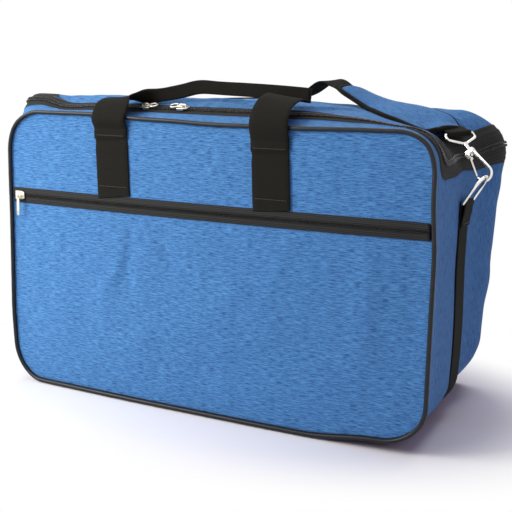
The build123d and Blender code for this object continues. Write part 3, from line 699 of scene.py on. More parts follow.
def side_of(x, y, line):
    """Signed distance in plan from a broken line, positive on its left."""
    nearest = np.full(x.shape, 1e9)
    for (ax, ay), (bx, by) in zip(line[:-1], line[1:]):
        long = math.hypot(bx - ax, by - ay)
        run_x, run_y = (bx - ax) / long, (by - ay) / long
        along = np.clip((x - ax) * run_x + (y - ay) * run_y, 0, long)
        off_x, off_y = x - ax - along * run_x, y - ay - along * run_y
        away = np.hypot(off_x, off_y) * np.sign(run_x * off_y - run_y * off_x + 1e-9)
        nearest = np.where(np.abs(away) < np.abs(nearest), away, nearest)
    return nearest


lid_y = np.concatenate([end_spaced(-109.9, -60, 34)[:-1], np.linspace(-60, 137, 76)])
lid_t, lid_rows = between(lid_y, lid_edge(lid_y, lid_cut(lid_y)), 200)
lid_flat = on_form(lid_rows, lid_t)
from_crease = side_of(lid_flat[..., 0], lid_flat[..., 1], LID_CREASE)
folded = fade(lid_flat[..., 0], -72, 0) * fade(lid_rows, -109, -104)
crest = 2.6 * np.exp(-(((from_crease - 5) / 6) ** 2))
groove = 3.4 * np.exp(-(((from_crease + 3) / 3.6) ** 2))
rise = (crest - groove) * folded
lid_grid = facing_out(on_form(lid_rows, lid_t, rise))
lid_cloth = sewn_panel("lid_cloth", soft_folds(lid_grid, 1.2, 31, roll=1.2), 1.2, blue, yarn=(0, 1))

liner_y = np.concatenate([end_spaced(-108, -60, 16)[:-1], np.linspace(-60, 136, 40)])
liner_t, liner_rows = between(liner_y, lid_edge(liner_y, lid_cut(liner_y) + 2.0), 90)
liner_grid = facing_out(on_form(liner_rows, liner_t))
off_edge = fade(edge_distance(liner_grid), 0, 9)
turned_in = -8.0 * off_edge - 1.4 * (1 - off_edge)
lid_liner = sewn_panel("lid_inside", on_form(liner_rows, liner_t, turned_in)[:, ::-1], 0.8, lining_cloth)

strip_s = end_spaced(0, 1, 170)
strip_y = np.full_like(strip_s, -126.0)
for _ in range(6):
    edge_t = t_at_height(strip_y, BAND_TOP)
    height = on_form(strip_y, edge_t + strip_s * (9 - 2 * edge_t))[:, 2]
    dip = np.clip(BEND[1] - height, 0, STRIP_TURN)
    strip_y = BEND[0] - np.sqrt(STRIP_TURN**2 - dip**2)
f = np.linspace(0, 1, 12)[:, None]
rows_y = -SEAM + (strip_y + SEAM) * f
edge_t = t_at_height(rows_y, BAND_TOP)
strip_grid = facing_out(on_form(rows_y, edge_t + strip_s * (9 - 2 * edge_t)))
top_strip = sewn_panel("top_strip_cloth", soft_folds(strip_grid, 0.3, 33, roll=0.1), 1.2, blue)

hinge_y = np.linspace(SEAM, 135.5, 12)
hinge_t, hinge_rows = between(hinge_y, t_at_height(hinge_y, 331.0), 130)
hinge_grid = facing_out(on_form(hinge_rows, hinge_t, -0.4))
hinge_cloth = sewn_panel("hinge_cloth", hinge_grid, 0.9, blue)

base_y = end_spaced(-SEAM, SEAM, 60)
base_edge = t_at_height(base_y, BAND_LOW)
base_s = end_spaced(0, 1, 110)
base_t = base_edge[:, None] + base_s * (1 - 2 * base_edge)[:, None]
base_grid = facing_out(on_form(base_y[:, None], base_t))
base = sewn_panel("base_cloth_panel", base_grid, 1.0, base_cloth)

tub_y = np.linspace(-135.8, 141.5, 60)
tub_edge = t_at_height(tub_y, BAND_TOP)
tub_s = np.linspace(0, 1, 200)
tub_t = tub_edge[:, None] + tub_s * (1 - 2 * tub_edge)[:, None]
tub_rows = np.broadcast_to(tub_y[:, None], tub_t.shape)
tub_height = on_form(tub_rows, tub_t)[..., 2]
tub_lift = -8.0 + 6.8 * fade(tub_height, 322, 330)
tub = sewn_panel("body_inside", facing_out(on_form(tub_rows, tub_t, tub_lift))[:, ::-1], 0.8, lining_cloth)

sides = {}
for name, sign in (("right", 1), ("left", -1)):
    grid = soft_folds(side_grid(sign), 0.9, 41 + sign)
    sides[name] = sewn_panel("side_cloth_" + name, grid, 1.2, blue)
    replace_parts(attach(sides[name], "shell"), "side_panel_" + name)
for piece, body, covered, finish in (
        (lid_cloth, "lid", ["lid_panel"], "heather_cloth"),
        (lid_liner, "lid", ["lid_foam", "lid_lining"], "lining"),
        (top_strip, "shell", ["top_front_strip"], "heather_cloth"),
        (base, "shell", ["base_panel"], "base_cloth"),
        (tub, "shell", ["body_lining", "side_foam_left", "side_foam_right", "base_foam"], "lining")):
    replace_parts(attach(piece, body), *covered)
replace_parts(hinge_cloth, "lid_hinge_strip")
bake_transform(hinge_cloth)
print("sides, base and lid made")

# %% [markdown]
# ## Piping
# A cord wrapped in a folded strip and caught in the seam round the front and the back. The
# strip puckers a little round the corners, and its two raw edges are hidden in the seam.

# %% Piping
def tube(name, centres, radius, finish, sides_count=14, closed=False, pucker=0.0):
    """A round cord along points. radius may vary from point to point."""
    path = np.asarray(centres, float)
    if closed:
        tangent = np.roll(path, -1, 0) - np.roll(path, 1, 0)
    else:
        tangent = np.gradient(path, axis=0)
    tangent, along = unit(tangent), run_length(path)
    one = np.empty_like(path)
    guide = np.array([0, 1.0, 0]) if abs(tangent[0, 1]) < 0.8 else np.array([1.0, 0, 0])
    for i, way in enumerate(tangent):
        guide = guide - way * guide.dot(way)
        guide /= np.linalg.norm(guide)
        one[i] = guide
    two = np.cross(tangent, one)
    angle = np.linspace(0, 2 * np.pi, sides_count, endpoint=False)
    waves = np.sin(along * 1.9 + 0.7 * np.sin(along * 0.31))
    size = np.broadcast_to(radius, len(path))[:, None] * (1 + pucker * waves)[:, None]
    ring = one[:, None] * np.cos(angle)[None, :, None] + two[:, None] * np.sin(angle)[None, :, None]
    points = path[:, None] + ring * size[..., None]
    count = len(path)
    index = np.arange(count * sides_count).reshape(count, sides_count)
    following = np.roll(index, -1, axis=1)
    ahead = np.roll(index, -1, axis=0)
    ahead_following = np.roll(following, -1, axis=0)
    last = count if closed else count - 1
    faces = np.stack([index, following, ahead_following, ahead], -1)[:last].reshape(-1, 4).tolist()
    if not closed:
        faces += [index[0, ::-1].tolist(), index[-1].tolist()]
    girth = angle[None, :] * radius if np.isscalar(radius) else angle[None, :]
    uv = np.stack(np.broadcast_arrays(along[:, None], girth), -1)
    return mesh_object(name, points.reshape(-1, 3), faces, finish, uv.reshape(-1, 2))


around = np.linspace(0, 8, 720, endpoint=False)
for name, end_y, node in (("front_piping_cord", -DEEP, "front_piping"),
                          ("back_piping_cord", DEEP, "back_piping")):
    seam = on_form(end_y, around, 2.0)
    seam[:, 1] = end_y + math.copysign(2.0, end_y)
    cord = tube(name, settle(seam), 2.75, piping_skin, closed=True, pucker=0.02)
    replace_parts(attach(cord, "shell"), node)
print("piping made")

# %% [markdown]
# ## Zips
# Each half of a zip is a woven tape with a nylon coil sewn along its edge. The turns of one
# coil fall between the turns of the other. Black rows of teeth show between the padded edges.

# %% Small repeated solids
def beads(name, places, ways, ups, long, wide, tall, finish):
    """One mesh of many rounded bars: each lies along its way, with its top facing up."""
    places, ways, ups = (np.asarray(a, float) for a in (places, ways, ups))
    ways = unit(ways)
    ups = unit(ups - ways * (ups * ways).sum(1, keepdims=True))
    across = np.cross(ups, ways)
    stations = np.array([[-0.5, 0.0], [-0.46, 0.62], [-0.34, 1.0], [0.34, 1.0], [0.46, 0.62], [0.5, 0.0]])
    angle = np.linspace(0, 2 * np.pi, 6, endpoint=False) + np.pi / 6
    ring = np.stack([np.cos(angle) * wide / 2, np.sin(angle) * tall / 2], -1)
    inner = stations[1:-1]
    local = np.stack([np.repeat(inner[:, 0] * long, 6), (inner[:, 1:2] * ring[None, :, 0]).ravel(),
                      (inner[:, 1:2] * ring[None, :, 1]).ravel()], -1)
    local = np.concatenate([local, [[-long / 2, 0, 0], [long / 2, 0, 0]]])
    points = (places[:, None] + local[None, :, 0:1] * ways[:, None] + local[None, :, 1:2] * across[:, None]
              + local[None, :, 2:3] * ups[:, None])
    shape = [[k * 6 + j, k * 6 + (j + 1) % 6, (k + 1) * 6 + (j + 1) % 6, (k + 1) * 6 + j]
             for k in range(3) for j in range(6)]
    caps = [[24, (j + 1) % 6, j] for j in range(6)] + [[25, 18 + j, 18 + (j + 1) % 6] for j in range(6)]
    size = len(local)
    faces = []
    for i in range(len(places)):
        faces += [[i * size + v for v in face] for face in shape + caps]
    return mesh_object(name, points.reshape(-1, 3), faces, finish)


def evenly(path, pitch, offset, extra):
    """Points at equal steps along a line of points, with the same done to matching arrays."""
    path = np.asarray(path, float)
    along = run_length(path)
    marks = np.arange(offset * pitch + pitch / 2, along[-1] - pitch / 2, pitch)
    def pick(values):
        return np.stack([np.interp(marks, along, values[:, k]) for k in range(values.shape[1])], -1)
    return pick(path), [pick(np.asarray(e, float)) for e in extra]


def zip_line(offset, end=137.0):
    """Depth and t along the lid zip's line, moved offset towards the lid, from right back to left back."""
    r = TURN - offset
    side_y = np.linspace(end, BEND[0], 60)[:-1]
    side_t = t_at_height(side_y, ZIP_SIDE + offset)
    phi = np.linspace(0, np.pi / 2, 26)
    bend_y = BEND[0] - r * np.sin(phi)
    bend_t = t_at_height(bend_y, BEND[1] - r * np.cos(phi))
    top_t = np.linspace(bend_t[-1], 4.5, 70)[1:]
    y = np.concatenate([side_y, bend_y, np.full(69, ZIP_FRONT + offset)])
    t = np.concatenate([side_t, bend_t, top_t])
    return np.concatenate([y, y[-2::-1]]), np.concatenate([t, 9 - t[-2::-1]])


def zip_row(offset, lift=0.0, end=137.0):
    y, t = zip_line(offset, end)
    return on_form(y, t, lift)


# %% The lid zip
FOLD = 6.5                           # one gather of the wide tape at the corners
NARROW = 8.8                         # the tape's width where the padding comes close


def tape_half(name, sign, widths, end, strands=22):
    """One half of the tape: rows from the chain out to a width that changes along the zip."""
    marks = np.array([0.3, 8.0, 12.0, 16.0, 20.0, 24.0, 28.0])
    tracks = [zip_line(sign * w, end) for w in marks]
    on_side = fade(np.abs(zip_row(0.0, 0.0, end)[:, 0]), 262, 288)
    rows = []
    for f in np.linspace(0, 1, strands):
        wanted = 0.3 + (widths - 0.3) * f
        ridge = 0.55 * fade(wanted, 8, 12) * on_side * (0.5 - 0.5 * np.cos(2 * np.pi * wanted / FOLD))
        lines = np.stack([on_form(y, t, 0.6 + ridge) for y, t in tracks])
        rows.append(np.stack([[np.interp(w, marks, lines[:, i, k]) for k in range(3)]
                              for i, w in enumerate(wanted)]))
    return sewn_panel(name, facing_out(np.stack(rows)), 0.8, tape_cloth)


middle_line = zip_row(0.0)
along_x = middle_line[:, 0]
body_width = NARROW + 12.2 * np.where(along_x > 0, fade(along_x, 262, 288), fade(-along_x, 284, 297))
at_corner = fade(np.abs(middle_line[:, 0]), 212, 262)
lid_width = NARROW + at_corner * np.maximum(lid_cut(middle_line[:, 1]) - 6.5, 15.0)
body_tape = tape_half("zip_tape_body_half", -1, body_width, 138.0)
lid_tape = tape_half("zip_tape_lid_half", 1, lid_width, 138.0)
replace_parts(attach(body_tape, "shell"), "body_zip_tape")
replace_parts(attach(lid_tape, "lid"), "lid_zip_tape")


def coil(name, line, edge, pitch, offset, finish, long=3.4, wide=1.5, tall=2.1):
    """Turns of a nylon coil: each crosses from the tape towards the other half."""
    up = np.cross(np.gradient(line, axis=0), edge - line)
    up *= np.sign((up * (line - MIDDLE)).sum(1, keepdims=True))
    spots, (ways, ups) = evenly(line, pitch, offset, [edge - line, up])
    return beads(name, spots, ways, ups, long, wide, tall, finish)


for name, sign, body, node in (("zip_coil_body_half", -1, "shell", "body_zip_coil"),
                               ("zip_coil_lid_half", 1, "lid", "lid_zip_coil")):
    teeth = coil(name, settle(zip_row(sign * 1.75, 1.9)), settle(zip_row(sign * 4.0, 1.7)), 2.9,
                 0.25 + 0.25 * sign, coil_nylon, wide=1.3)
    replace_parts(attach(teeth, body), node)

# %% The pocket zip
zip_x = np.linspace(-HALF + 2.5, HALF - 2.5, 150)


def pocket_row(z, out):
    return np.stack([zip_x, np.full_like(zip_x, -DEEP - out), np.full_like(zip_x, z)], -1)


for name, sign, node in (("upper", 1, "pocket_zip_upper"), ("lower", -1, "pocket_zip_lower")):
    profile = ((0.3, 0.9), (1.6, 1.1), (2.8, 1.7), (4.2, 2.1),
               (5.6, 1.8), (7.0, 1.2), (8.4, 0.9), (10.0, 0.9))
    rows = [pocket_row(POCKET_ZIP + sign * z, out) for z, out in profile]
    tape = sewn_panel("pocket_tape_" + name, facing_out(np.stack(rows)), 0.7, tape_cloth)
    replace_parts(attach(tape, "shell"), node + "_tape")
    teeth = coil("pocket_coil_" + name, settle(pocket_row(POCKET_ZIP + sign * 1.25, 1.7)),
                 settle(pocket_row(POCKET_ZIP + sign * 4, 1.7)), 1.7, 0.25 + 0.25 * sign, pocket_nylon,
                 long=2.5, wide=0.95, tall=1.5)
    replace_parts(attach(teeth, "shell"), node + "_coil")
print("zips made")

# %% [markdown]
# ## Webbing
# The handles, side straps and shoulder strap are flat nylon web. A strap is a path with a
# weft direction at each point, so it can twist and fold as web does without stretching wide.

# %% Web straps
def smooth_through(values, per_span=10):
    """A smooth curve through rows of numbers, spaced by the distance between their first three."""
    values = np.asarray(values, float)
    knots = run_length(values[:, :3])
    spans = [np.linspace(a, b, per_span, endpoint=False) for a, b in zip(knots[:-1], knots[1:])]
    places = np.concatenate(spans + [[knots[-1]]])
    places[0] += 1e-6
    return curve_weights(knots, places) @ values


def strap(name, centres, wefts, widths, thicks, finish):
    """A flat web. Its selvedges are rounded, and both faces share one map of the weave."""
    path, weft = np.asarray(centres, float), np.asarray(wefts, float)
    count = len(path)
    tangent = unit(np.gradient(path, axis=0))
    weft = unit(weft - tangent * (weft * tangent).sum(1, keepdims=True))
    face = np.cross(weft, tangent)
    half = np.broadcast_to(widths, count)[:, None, None] / 2
    thick = np.broadcast_to(thicks, count)[:, None, None] / 2
    flat = np.linspace(-1, 1, 9)
    profile = np.array([(f, 1.0) for f in flat * 0.965] + [(1.0, 0.45), (1.0, -0.45)]
                       + [(f, -1.0) for f in -flat * 0.965] + [(-1.0, -0.45), (-1.0, 0.45)])
    points = (path[:, None] + weft[:, None] * profile[None, :, 0:1] * half
              + face[:, None] * profile[None, :, 1:2] * thick)
    size = len(profile)
    index = np.arange(count * size).reshape(count, size)
    following = np.roll(index, -1, axis=1)
    faces = np.stack([index[:-1], index[1:], following[1:], following[:-1]], -1).reshape(-1, 4).tolist()
    faces += [index[0].tolist(), index[-1, ::-1].tolist()]
    along = run_length(path)
    uv = np.stack(np.broadcast_arrays(along[:, None], profile[None, :, 0] * half[..., 0]), -1)
    return mesh_object(name, points.reshape(-1, 3), faces, finish, uv.reshape(-1, 2))


def strap_through(name, sections, finish, per_span=10):
    """A strap through sections: x, y, z, weft x, y, z, width, thickness."""
    run = smooth_through(sections, per_span)
    return strap(name, run[:, :3], run[:, 3:6], run[:, 6], run[:, 7], finish)


# %% [markdown]
# ### Front handle
# One length of web makes the whole handle: up the yoke from under the pocket zip, free
# above the bar of stitches, over the lid, and folded in three for the hand.

# %% Front handle
WEB, THICK = 49.0, 2.0
BAR_OF_STITCHES = 338.5


def sewn_web(x_low, x_high, z_low, z_high, steps):
    """A handle's tail on the yoke, in sections that follow the cloth. It is doubled above its stitches."""
    z = np.concatenate([np.linspace(z_low, BAR_OF_STITCHES - 1.5, steps),
                        np.linspace(BAR_OF_STITCHES + 1, z_high, 4)])
    x = x_low + (x_high - x_low) * (z - z_low) / (z_high - z_low)
    on_cloth = settle(np.stack([x, np.full_like(x, -DEEP), z], -1))
    doubled = z > BAR_OF_STITCHES
    return [(px, py - (2.2 if two else 1.4), pz, 1, 0, 0, WEB + 1.0 * two, 3.4 if two else THICK)
            for (px, py, pz), two in zip(on_cloth, doubled)]


left_rise = sewn_web(-120.5, -129.6, 270, 349, 8)
right_rise = sewn_web(104.5, 97.5, 270, 349, 8)
over_left = [(-130.4, -157.4, 366, 1, 0, 0.02, 50, 2.6), (-130.4, -154.5, 378, 1, 0.03, 0.04, 50, 2.4),
             (-129.5, -146, 389.5, 1, 0.05, 0.05, 48, THICK), (-127, -136, 395, 1, -0.1, 0.08, 45, THICK),
             (-120.5, -126.5, 396.8, 0.9, -0.35, 0.16, 38, THICK),
             (-110, -118.5, 397.4, 0.68, -0.55, 0.34, 29, 3),
             (-98, -112.5, 398.0, 0.34, -0.42, 0.8, 21.5, 4.5), (-84, -108, 400.0, 0.1, -0.15, 1, 17.5, 6),
             (-68, -104, 403.0, 0.0, 0.0, 1, 17.5, 6),
             (-50, -100, 407.2, 0.0, 0.05, 1, 17.5, 6), (-36, -97.5, 410.8, 0.0, 0.05, 1, 17.5, 6)]
grip = [(-27, -96.5, 411.7, 0, 0.05, 1, 17.5, 6), (-12, -95.6, 411.2, 0, 0.05, 1, 17, 6),
        (20, -95, 410.0, 0, 0.05, 1, 17, 6), (52, -95.5, 409.0, 0, 0, 1, 17, 6),
        (80, -96, 407.8, 0, 0, 1, 17, 6), (104, -97, 406.2, 0, 0, 1, 17.5, 6),
        (123, -98, 404.7, 0, 0, 1, 18, 6)]
over_right = [(97, -157.4, 366, 1, 0, 0, 50, 2.6), (96, -154.6, 377, 1, 0, 0, 50, 2.4),
              (95.5, -146, 389, 1, 0, -0.04, WEB, THICK), (97, -133, 398.5, 1, 0, -0.1, WEB, THICK),
              (99.5, -119, 402.5, 1, 0, -0.14, WEB, THICK), (100.5, -106, 401.6, 1, 0.02, -0.12, 48, THICK),
              (100.5, -97.5, 400.2, 1, 0.02, -0.12, 46, THICK)]
handle = strap_through("front_handle_web", left_rise + over_left + grip, webbing, 8)
right_web = strap_through("front_handle_right_web", right_rise + over_right, webbing, 8)
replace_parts(handle, "front_handle_tail_left", "front_handle_left_leg", "front_handle_grip")
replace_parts(right_web, "front_handle_tail_right", "front_handle_right_leg")
for piece in (handle, right_web):
    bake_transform(piece)

# %% [markdown]
# ### Back handle
# The same web on the back, where it hangs down flat against the cloth.

# %% Back handle
def back_tail(x, steps=9):
    z = np.linspace(273, 355.5, steps)
    on_cloth = settle(np.stack([np.full_like(z, x), np.full_like(z, DEEP), z], -1))
    rows = [(px, py + 1.3, pz, 1, 0, 0, WEB, THICK) for px, py, pz in on_cloth]
    turned = ((151.9, 358.6), (154.4, 360.2), (157.1, 358.4))
    return rows + [(x, y, z, 1, 0, 0, WEB, THICK) for y, z in turned]


left_tail = back_tail(-113)
right_tail = [(x, y, z, -1, 0, 0, w, t) for x, y, z, _, _, _, w, t in back_tail(113)[::-1]]
hanging = [(-113, 158, 351, 1, 0, 0.02, WEB, THICK), (-111, 159.6, 336, 1, 0, 0.1, WEB, THICK),
           (-101, 161, 312, 0.95, 0, 0.4, WEB, THICK), (-80, 162, 288, 0.75, 0, 0.7, 40, THICK),
           (-52, 162, 268, 0.4, 0, 0.95, 25, 5), (0, 162, 257, 0, 0, 1, 24, 6),
           (52, 162, 268, -0.4, 0, 0.95, 25, 5),
           (80, 162, 288, -0.75, 0, 0.7, 40, THICK), (101, 161, 312, -0.95, 0, 0.4, WEB, THICK),
           (111, 159.6, 336, -1, 0, 0.1, WEB, THICK), (113, 158, 351, -1, 0, 0.02, WEB, THICK)]
rear_handle = strap_through("back_handle_web", left_tail + hanging + right_tail, webbing, 8)
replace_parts(rear_handle, "back_handle", "back_handle_tail_left", "back_handle_tail_right")
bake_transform(rear_handle)

# %% [markdown]
# ### Side straps
# A narrower web is sewn down the middle of each side and round under the base. Its top end
# turns round the straight bar of the D-ring and is sewn back on itself.

# %% Side straps
SIDE_WEB = 38.0
bar_x, bar_z, bar_turn = 294.8, 279.0, 3.4
for name, sign in (("right", 1), ("left", -1)):
    down = on_form(0.0, np.linspace(t_at_height(0.0, 257.0), 1.15, 26), 1.5)
    down = settle(down)
    wrap = np.radians(np.linspace(200, -25, 16))
    loop = [(bar_x + bar_turn * math.cos(a), 0, bar_z + bar_turn * math.sin(a)) for a in wrap]
    doubled = [(bar_x + 1.6, 0, 268), (bar_x - 0.4, 0, 258), (bar_x - 0.9, 0, 250)]
    path = np.array([tuple(p) for p in down[::-1]] + [(bar_x - 3.2, 0, 268)] + loop + doubled)
    path[:, 0] *= sign
    run = smooth_through(path, 4)
    web = strap("side_web_" + name, run, np.tile([0, 1.0, 0], (len(run), 1)), SIDE_WEB, 1.7, webbing)
    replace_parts(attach(web, "shell"), "side_strap_" + name)

# %% [markdown]
# ### Shoulder strap
# At its shortest the strap crosses the lid from ring to ring. Web loops hold the two swivel
# eyes, the left run is doubled back through the slide adjuster, and the right run carries a pad.

# %% Shoulder strap
eye_bar = np.array([273.5, 20.0, 362.0])
RING_END = np.array([315.5, 0, 312.8])     # the far end of the D-ring, where the hook hangs
stem = eye_bar - RING_END
bar_way = np.array([math.cos(math.radians(60)), math.sin(math.radians(60)), 0])
bar_way[2] = -(stem[0] * bar_way[0] + stem[1] * bar_way[1]) / stem[2]
bar_way /= np.linalg.norm(bar_way)
heading = np.cross([0, 0, 1], bar_way) + np.array([0, 0, 0.2])
heading -= bar_way * heading.dot(bar_way)
heading /= np.linalg.norm(heading)
lifted = np.cross(bar_way, heading)
lifted *= np.sign(lifted[2])

route = np.array([(240, 37, 371), (205, 44, 380.5), (170, 50, 386.6), (145, 55, 394.6), (124, 59, 402.6),
                  (108, 60.5, 410.6), (98, 61.5, 417.2), (89, 62.5, 420.8), (79, 63.5, 422.3),
                  (69, 65, 418.8), (58, 66, 411.4), (46, 67, 404.5), (25, 70, 398.6), (0, 72, 397.2),
                  (-40, 72, 396.4), (-80, 70, 394.6), (-120, 64, 391.4), (-139, 60, 389.4)], float)
doubled_route = np.array([(-160, 55, 387.2), (-200, 46, 382), (-235, 37, 375.2)], float)
seam = eye_bar + heading * 20
for name, sign in (("right", 1), ("left", -1)):
    ring_of_web = [eye_bar - heading * 3.1 * math.cos(a) + lifted * 3.1 * math.sin(a)
                   for a in np.radians(np.linspace(115, -115, 16))]
    ends = [eye_bar + heading * 19 + lifted * 3.0, eye_bar + heading * 9 + lifted * 3.6]
    back_again = [eye_bar + heading * 9 + lifted * 1.2, eye_bar + heading * 19 + lifted * 1.0]
    path = np.array(ends + ring_of_web + back_again)
    path[:, 0] *= sign
    weft = bar_way * np.array([sign, 1, 1])
    run = smooth_through(path, 4)
    web = strap("strap_loop_" + name, run, np.tile(weft, (len(run), 1)), SIDE_WEB, 1.8, webbing)
    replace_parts(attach(web, "shell"), "strap_end_" + name)

weft_x = np.array([0.45, 0.3, 0.22, 0.2, 0.2, 0.18, 0.15, 0.12, 0.1, 0.08, 0.05, 0.03,
                   0, 0, 0, -0.1, -0.2, -0.25])
weft_z = np.array([0, 0, 0.05, 0.1, 0.12, 0.15, 0.2, 0.22, 0.06, -0.07, -0.105, -0.06,
                   0, 0, 0, 0, 0, 0])
single = [(*(seam + lifted * 1.7), *bar_way, SIDE_WEB, THICK)]
single += [(x, y, z + 1.1, w, 1, v, SIDE_WEB, THICK) for (x, y, z), w, v in zip(route, weft_x, weft_z)]
web = strap_through("strap_single_web", single, webbing, 8)
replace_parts(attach(web, "shell"), "strap_webbing")
mirror_seam = seam * np.array([-1, 1, 1])
twice = [(x, y, z + 2.0, w, 1, 0, SIDE_WEB, 4.0) for (x, y, z), w in zip(doubled_route, (-0.3, -0.35, -0.5))]
mirror_lifted = lifted * np.array([-1, 1, 1])
twice += [(*(mirror_seam + mirror_lifted * 1.7), -bar_way[0], *bar_way[1:], SIDE_WEB, 4.0)]
web = strap_through("strap_double_web", twice, webbing, 8)
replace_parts(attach(web, "shell"), "strap_doubled_webbing")

# %% [markdown]
# ### Shoulder pad
# A thin pad of foam between heather cloth and black grip cloth, bound round its edge. It is
# thickest in the middle, pointed at both ends, and the web runs under it.

# %% Shoulder pad
def lid_height(x, y):
    """Height of the settled lid above each place."""
    found = np.empty(np.shape(x))
    table = np.linspace(2.2, 6.8, 260)
    for place in np.ndindex(found.shape):
        line = on_form(y[place], table)
        found[place] = np.interp(x[place], line[::-1, 0], line[::-1, 2])
    return found + top_lift(x, y)


# X, Y, height of the underside, lean, slope of the weft in plan, reach to the near and far edge
pad_sections = smooth_through(
    [(264, 26, 365.5, 0.0, 0.45, 25, 19), (252, 29, 368, 0.02, 0.42, 42, 27),
     (232, 33, 372.5, 0.14, 0.38, 44, 35), (205, 40, 379, 0.18, 0.3, 41, 38),
     (185, 45, 384, 0.18, 0.26, 37, 39), (162, 51, 388.8, 0.14, 0.22, 28, 38),
     (141, 56.5, 396.2, 0.09, 0.2, 25, 34.5), (124, 60, 404.2, 0.06, 0.2, 25, 30),
     (113, 61.5, 410, 0.06, 0.18, 25, 24.5), (106, 62, 412.8, 0.05, 0.16, 21, 20)], 8)
pad_cross = np.linspace(-1, 1, 25)[None, :]
plan = unit(np.stack([pad_sections[:, 4], np.ones(len(pad_sections))], -1))
away = pad_cross * np.where(pad_cross < 0, pad_sections[:, 5:6], pad_sections[:, 6:7])
pad_x, pad_y = pad_sections[:, :1] + plan[:, :1] * away, pad_sections[:, 1:2] + plan[:, 1:] * away
on_lid = lid_height(pad_x, pad_y) + 1.2
hung = np.maximum(pad_sections[:, 2:3] + pad_sections[:, 3:4] * away, on_lid)
lying = fade(pad_x, 170, 235)
under = hung * (1 - lying) + on_lid * lying
over_loop = fade(pad_x, 234, 254)
under += np.maximum(pad_sections[:, 2:3] - under, 0) * over_loop
bulge = 1 - np.abs(pad_cross) ** 3.2
fill = np.sin(np.pi * np.linspace(0.06, 0.94, len(pad_sections)))[:, None] ** 0.5
pad_bottom = np.stack([pad_x, pad_y, under + 2.0], -1)
pad_top = np.stack([pad_x, pad_y, under + 2.6 + 6.2 * bulge * fill], -1)


def skin_between(name, upper, lower, finish, upper_finish):
    """A closed pad from two grids that share their edge layout."""
    rows, cols = upper.shape[:2]
    u, v = np.meshgrid(arc(upper, 1), arc(upper, 0))
    uv = np.stack([v, u], -1).reshape(-1, 2)
    points = np.concatenate([upper.reshape(-1, 3), lower.reshape(-1, 3)])
    obj = mesh_object(name, points, skin_faces(rows, cols), finish, np.concatenate([uv, uv]))
    obj.data.materials.append(upper_finish)
    flags = np.zeros(len(obj.data.polygons), int)
    flags[:(rows - 1) * (cols - 1)] = 1
    obj.data.polygons.foreach_set("material_index", flags)
    return obj


pad = skin_between("shoulder_pad_cushion", pad_top, pad_bottom, lining_cloth, blue)
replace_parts(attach(pad, "shell"), "shoulder_pad")
# The binding is 1 mm fatter and sits higher along the near edge. Part of it is the real binding, and the
# extra black there stands in for the shade under the pad's near edge, a painted shadow.
edge = np.concatenate([pad_top[:, 0], pad_top[-1, 1:], pad_top[-2::-1, -1], pad_top[0, -2:0:-1]])
near = np.concatenate([np.ones(len(pad_top)), np.linspace(1, 0, pad_cross.size - 1),
                       np.zeros(len(pad_top) - 1), np.linspace(0, 1, pad_cross.size - 2)])
edge[:, 2] -= 1.9 - 0.7 * near
binding = tube("shoulder_pad_binding", edge, 2.2 + 1.0 * near, webbing, sides_count=10, closed=True)
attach(binding, "shell")
print("straps and pad made")

# %% [markdown]
# ## Stitching
# Thread shows wherever an edge is turned in: beside both zips, across the handle tails, on the
# doubled ends of the side webs, and inside the pad's binding. Each stitch is a short bar of thread.

# %% Stitches
def stitches(name, path, ups, body, finish, pitch=3.8, lift=0.35):
    """A row of stitches along a line, raised along ups."""
    path, ups = np.asarray(path, float), np.broadcast_to(np.asarray(ups, float), np.shape(path))
    ways = np.gradient(path, axis=0)
    spots, (way, up) = evenly(path + ups * lift, pitch, 0.0, [ways, ups])
    row = beads(name, spots, way, up, 2.9, 0.8, 0.7, finish)
    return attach(row, body)


def beside(name, panel, row, body, column=False):
    """Stitches along one row or column of a panel's grid."""
    grid = surfaces[panel]
    up = normals_of(grid)
    pick = (slice(3, -3), row) if column else (row, slice(3, -3))
    return stitches(name, grid[pick], up[pick], body, thread)


beside("stitch_pocket_edge", "pocket_panel_cloth", -2, "shell")
beside("stitch_yoke_edge", "yoke_cloth", 1, "shell")
beside("stitch_strip_edge", "top_strip_cloth", -2, "shell")
beside("stitch_lid_front", "lid_cloth", 3, "lid")
beside("stitch_lid_right", "lid_cloth", 3, "lid", column=True)
beside("stitch_lid_left", "lid_cloth", -4, "lid", column=True)
for name, rise in (("left", left_rise), ("right", right_rise)):
    for step, (index, out) in enumerate(((8, 2.0), (1, 1.3))):
        x, y, z = rise[index][:3]
        line = [(x + shift, y - out, z + (1.5 if index == 8 else 4)) for shift in np.linspace(-21, 21, 12)]
        stitches(f"stitch_tail_{name}_{step}", line, (0, -1, 0), "shell", dark_thread, lift=0.1)
for name, sign in (("right", 1), ("left", -1)):
    for step, height in enumerate((268.0, 254.0)):
        line = [(sign * (bar_x + 1.2), y, height) for y in np.linspace(-15, 15, 9)]
        stitches(f"stitch_side_{name}_{step}", line, (sign, 0, 0), "shell", dark_thread, lift=0.0)
for name, column in (("near", 2), ("far", -3)):
    stitches("stitch_pad_" + name, pad_top[4:-4, column], (0, 0, 1), "shell", thread)
print("stitches made")

# %% [markdown]
# ## Light and background
# A large soft light stands close on the left, so the front is brighter there. A weak one on the
# right leaves the end panel dark. The floor takes the bag's shadow and turns to plain white
# further out, where only the camera and mirror-like parts see it.

# %% Floor and lights
floor_mesh = bpy.data.meshes.new("studio_floor")
reach = 14.0
corners = [(-reach, -reach, 0), (reach, -reach, 0), (reach, reach, 0), (-reach, reach, 0)]
floor_mesh.from_pydata(corners, [], [(0, 1, 2, 3)])
floor = bpy.data.objects.new("studio_floor", floor_mesh)
scene.collection.objects.link(floor)


def seen_directly(tree):
    """1 for rays that show the background: from the camera, or by way of metal or glass."""
    path = add(tree, "ShaderNodeLightPath").outputs
    total = maths(tree, "MAXIMUM", path["Is Camera Ray"], path["Is Glossy Ray"])
    return maths(tree, "MAXIMUM", total, path["Is Transmission Ray"])


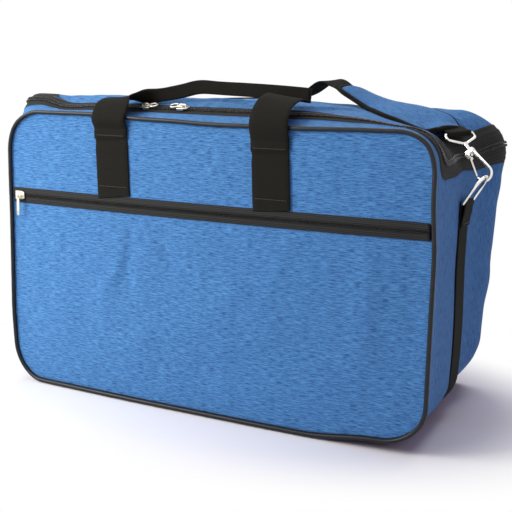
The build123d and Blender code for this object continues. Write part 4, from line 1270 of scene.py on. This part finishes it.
paper, tree, shader = material("studio_paper", rough=0.95)
shader.inputs["Specular IOR Level"].default_value = 0.0
place = add(tree, "ShaderNodeTexCoord").outputs["Object"]
grain = add(tree, "ShaderNodeTexNoise", {0: place, 2: 3.0}).outputs[0]
grain_mask = ramp(tree, grain, [(0.3, 0.0), (0.7, 1.0)])
paper_tone = mix_colour(tree, grain_mask, (0.95, 0.95, 0.95, 1), (0.97, 0.97, 0.97, 1))
tree.links.new(paper_tone, shader.inputs["Base Color"])
OVAL = (1.0, 1.45, 1.0)              # the shadowed patch of floor is longer than it is deep
stretched = add(tree, "ShaderNodeVectorMath", {0: place, 1: OVAL}, operation="MULTIPLY").outputs[0]
distance = add(tree, "ShaderNodeVectorMath", {0: stretched}, operation="LENGTH").outputs["Value"]
edge_of_shadow = {0: distance, 1: 0.33, 2: 0.52}
far = add(tree, "ShaderNodeMapRange", edge_of_shadow, interpolation_type="SMOOTHSTEP").outputs[0]
plain = maths(tree, "MULTIPLY", far, seen_directly(tree))
white = add(tree, "ShaderNodeEmission", {"Color": (1, 1, 1, 1), "Strength": 1.0}).outputs[0]
blend_in = add(tree, "ShaderNodeMixShader", {0: plain, 1: shader.outputs[0], 2: white}).outputs[0]
tree.links.new(blend_in, tree.nodes["Material Output"].inputs["Surface"])
floor_mesh.materials.append(paper)

world = bpy.data.worlds.new("studio")
scene.world = world
world.use_nodes = True
tree = world.node_tree
sky = tree.nodes["Background"]
seen = seen_directly(tree)
tree.links.new(mix_colour(tree, seen, (0.86, 0.76, 1.0, 1), (1, 1, 1, 1)), sky.inputs["Color"])
strength = maths(tree, "MULTIPLY_ADD", seen, 0.74, 0.26)
tree.links.new(strength, sky.inputs["Strength"])


def soft_light(name, place, target, size, power, colour):
    light = bpy.data.lights.new(name, "AREA")
    light.shape, light.size, light.energy, light.color = "SQUARE", size, power, colour
    lamp = bpy.data.objects.new(name, light)
    scene.collection.objects.link(lamp)
    lamp.location = place
    lamp.rotation_euler = (Vector(target) - Vector(place)).to_track_quat("-Z", "Y").to_euler()


soft_light("key", (-0.88, -0.88, 0.8), (-0.12, 0, 0.2), 0.8, 20.5, (1, 0.99, 0.97))
soft_light("fill", (1.7, -1.4, 0.7), (0, 0, 0.2), 1.4, 2.0, (0.85, 0.35, 1))
soft_light("top", (0.0, 0.5, 2.2), (0, 0, 0.3), 1.8, 22, (1, 1, 1))
scene.view_settings.view_transform = "Standard"
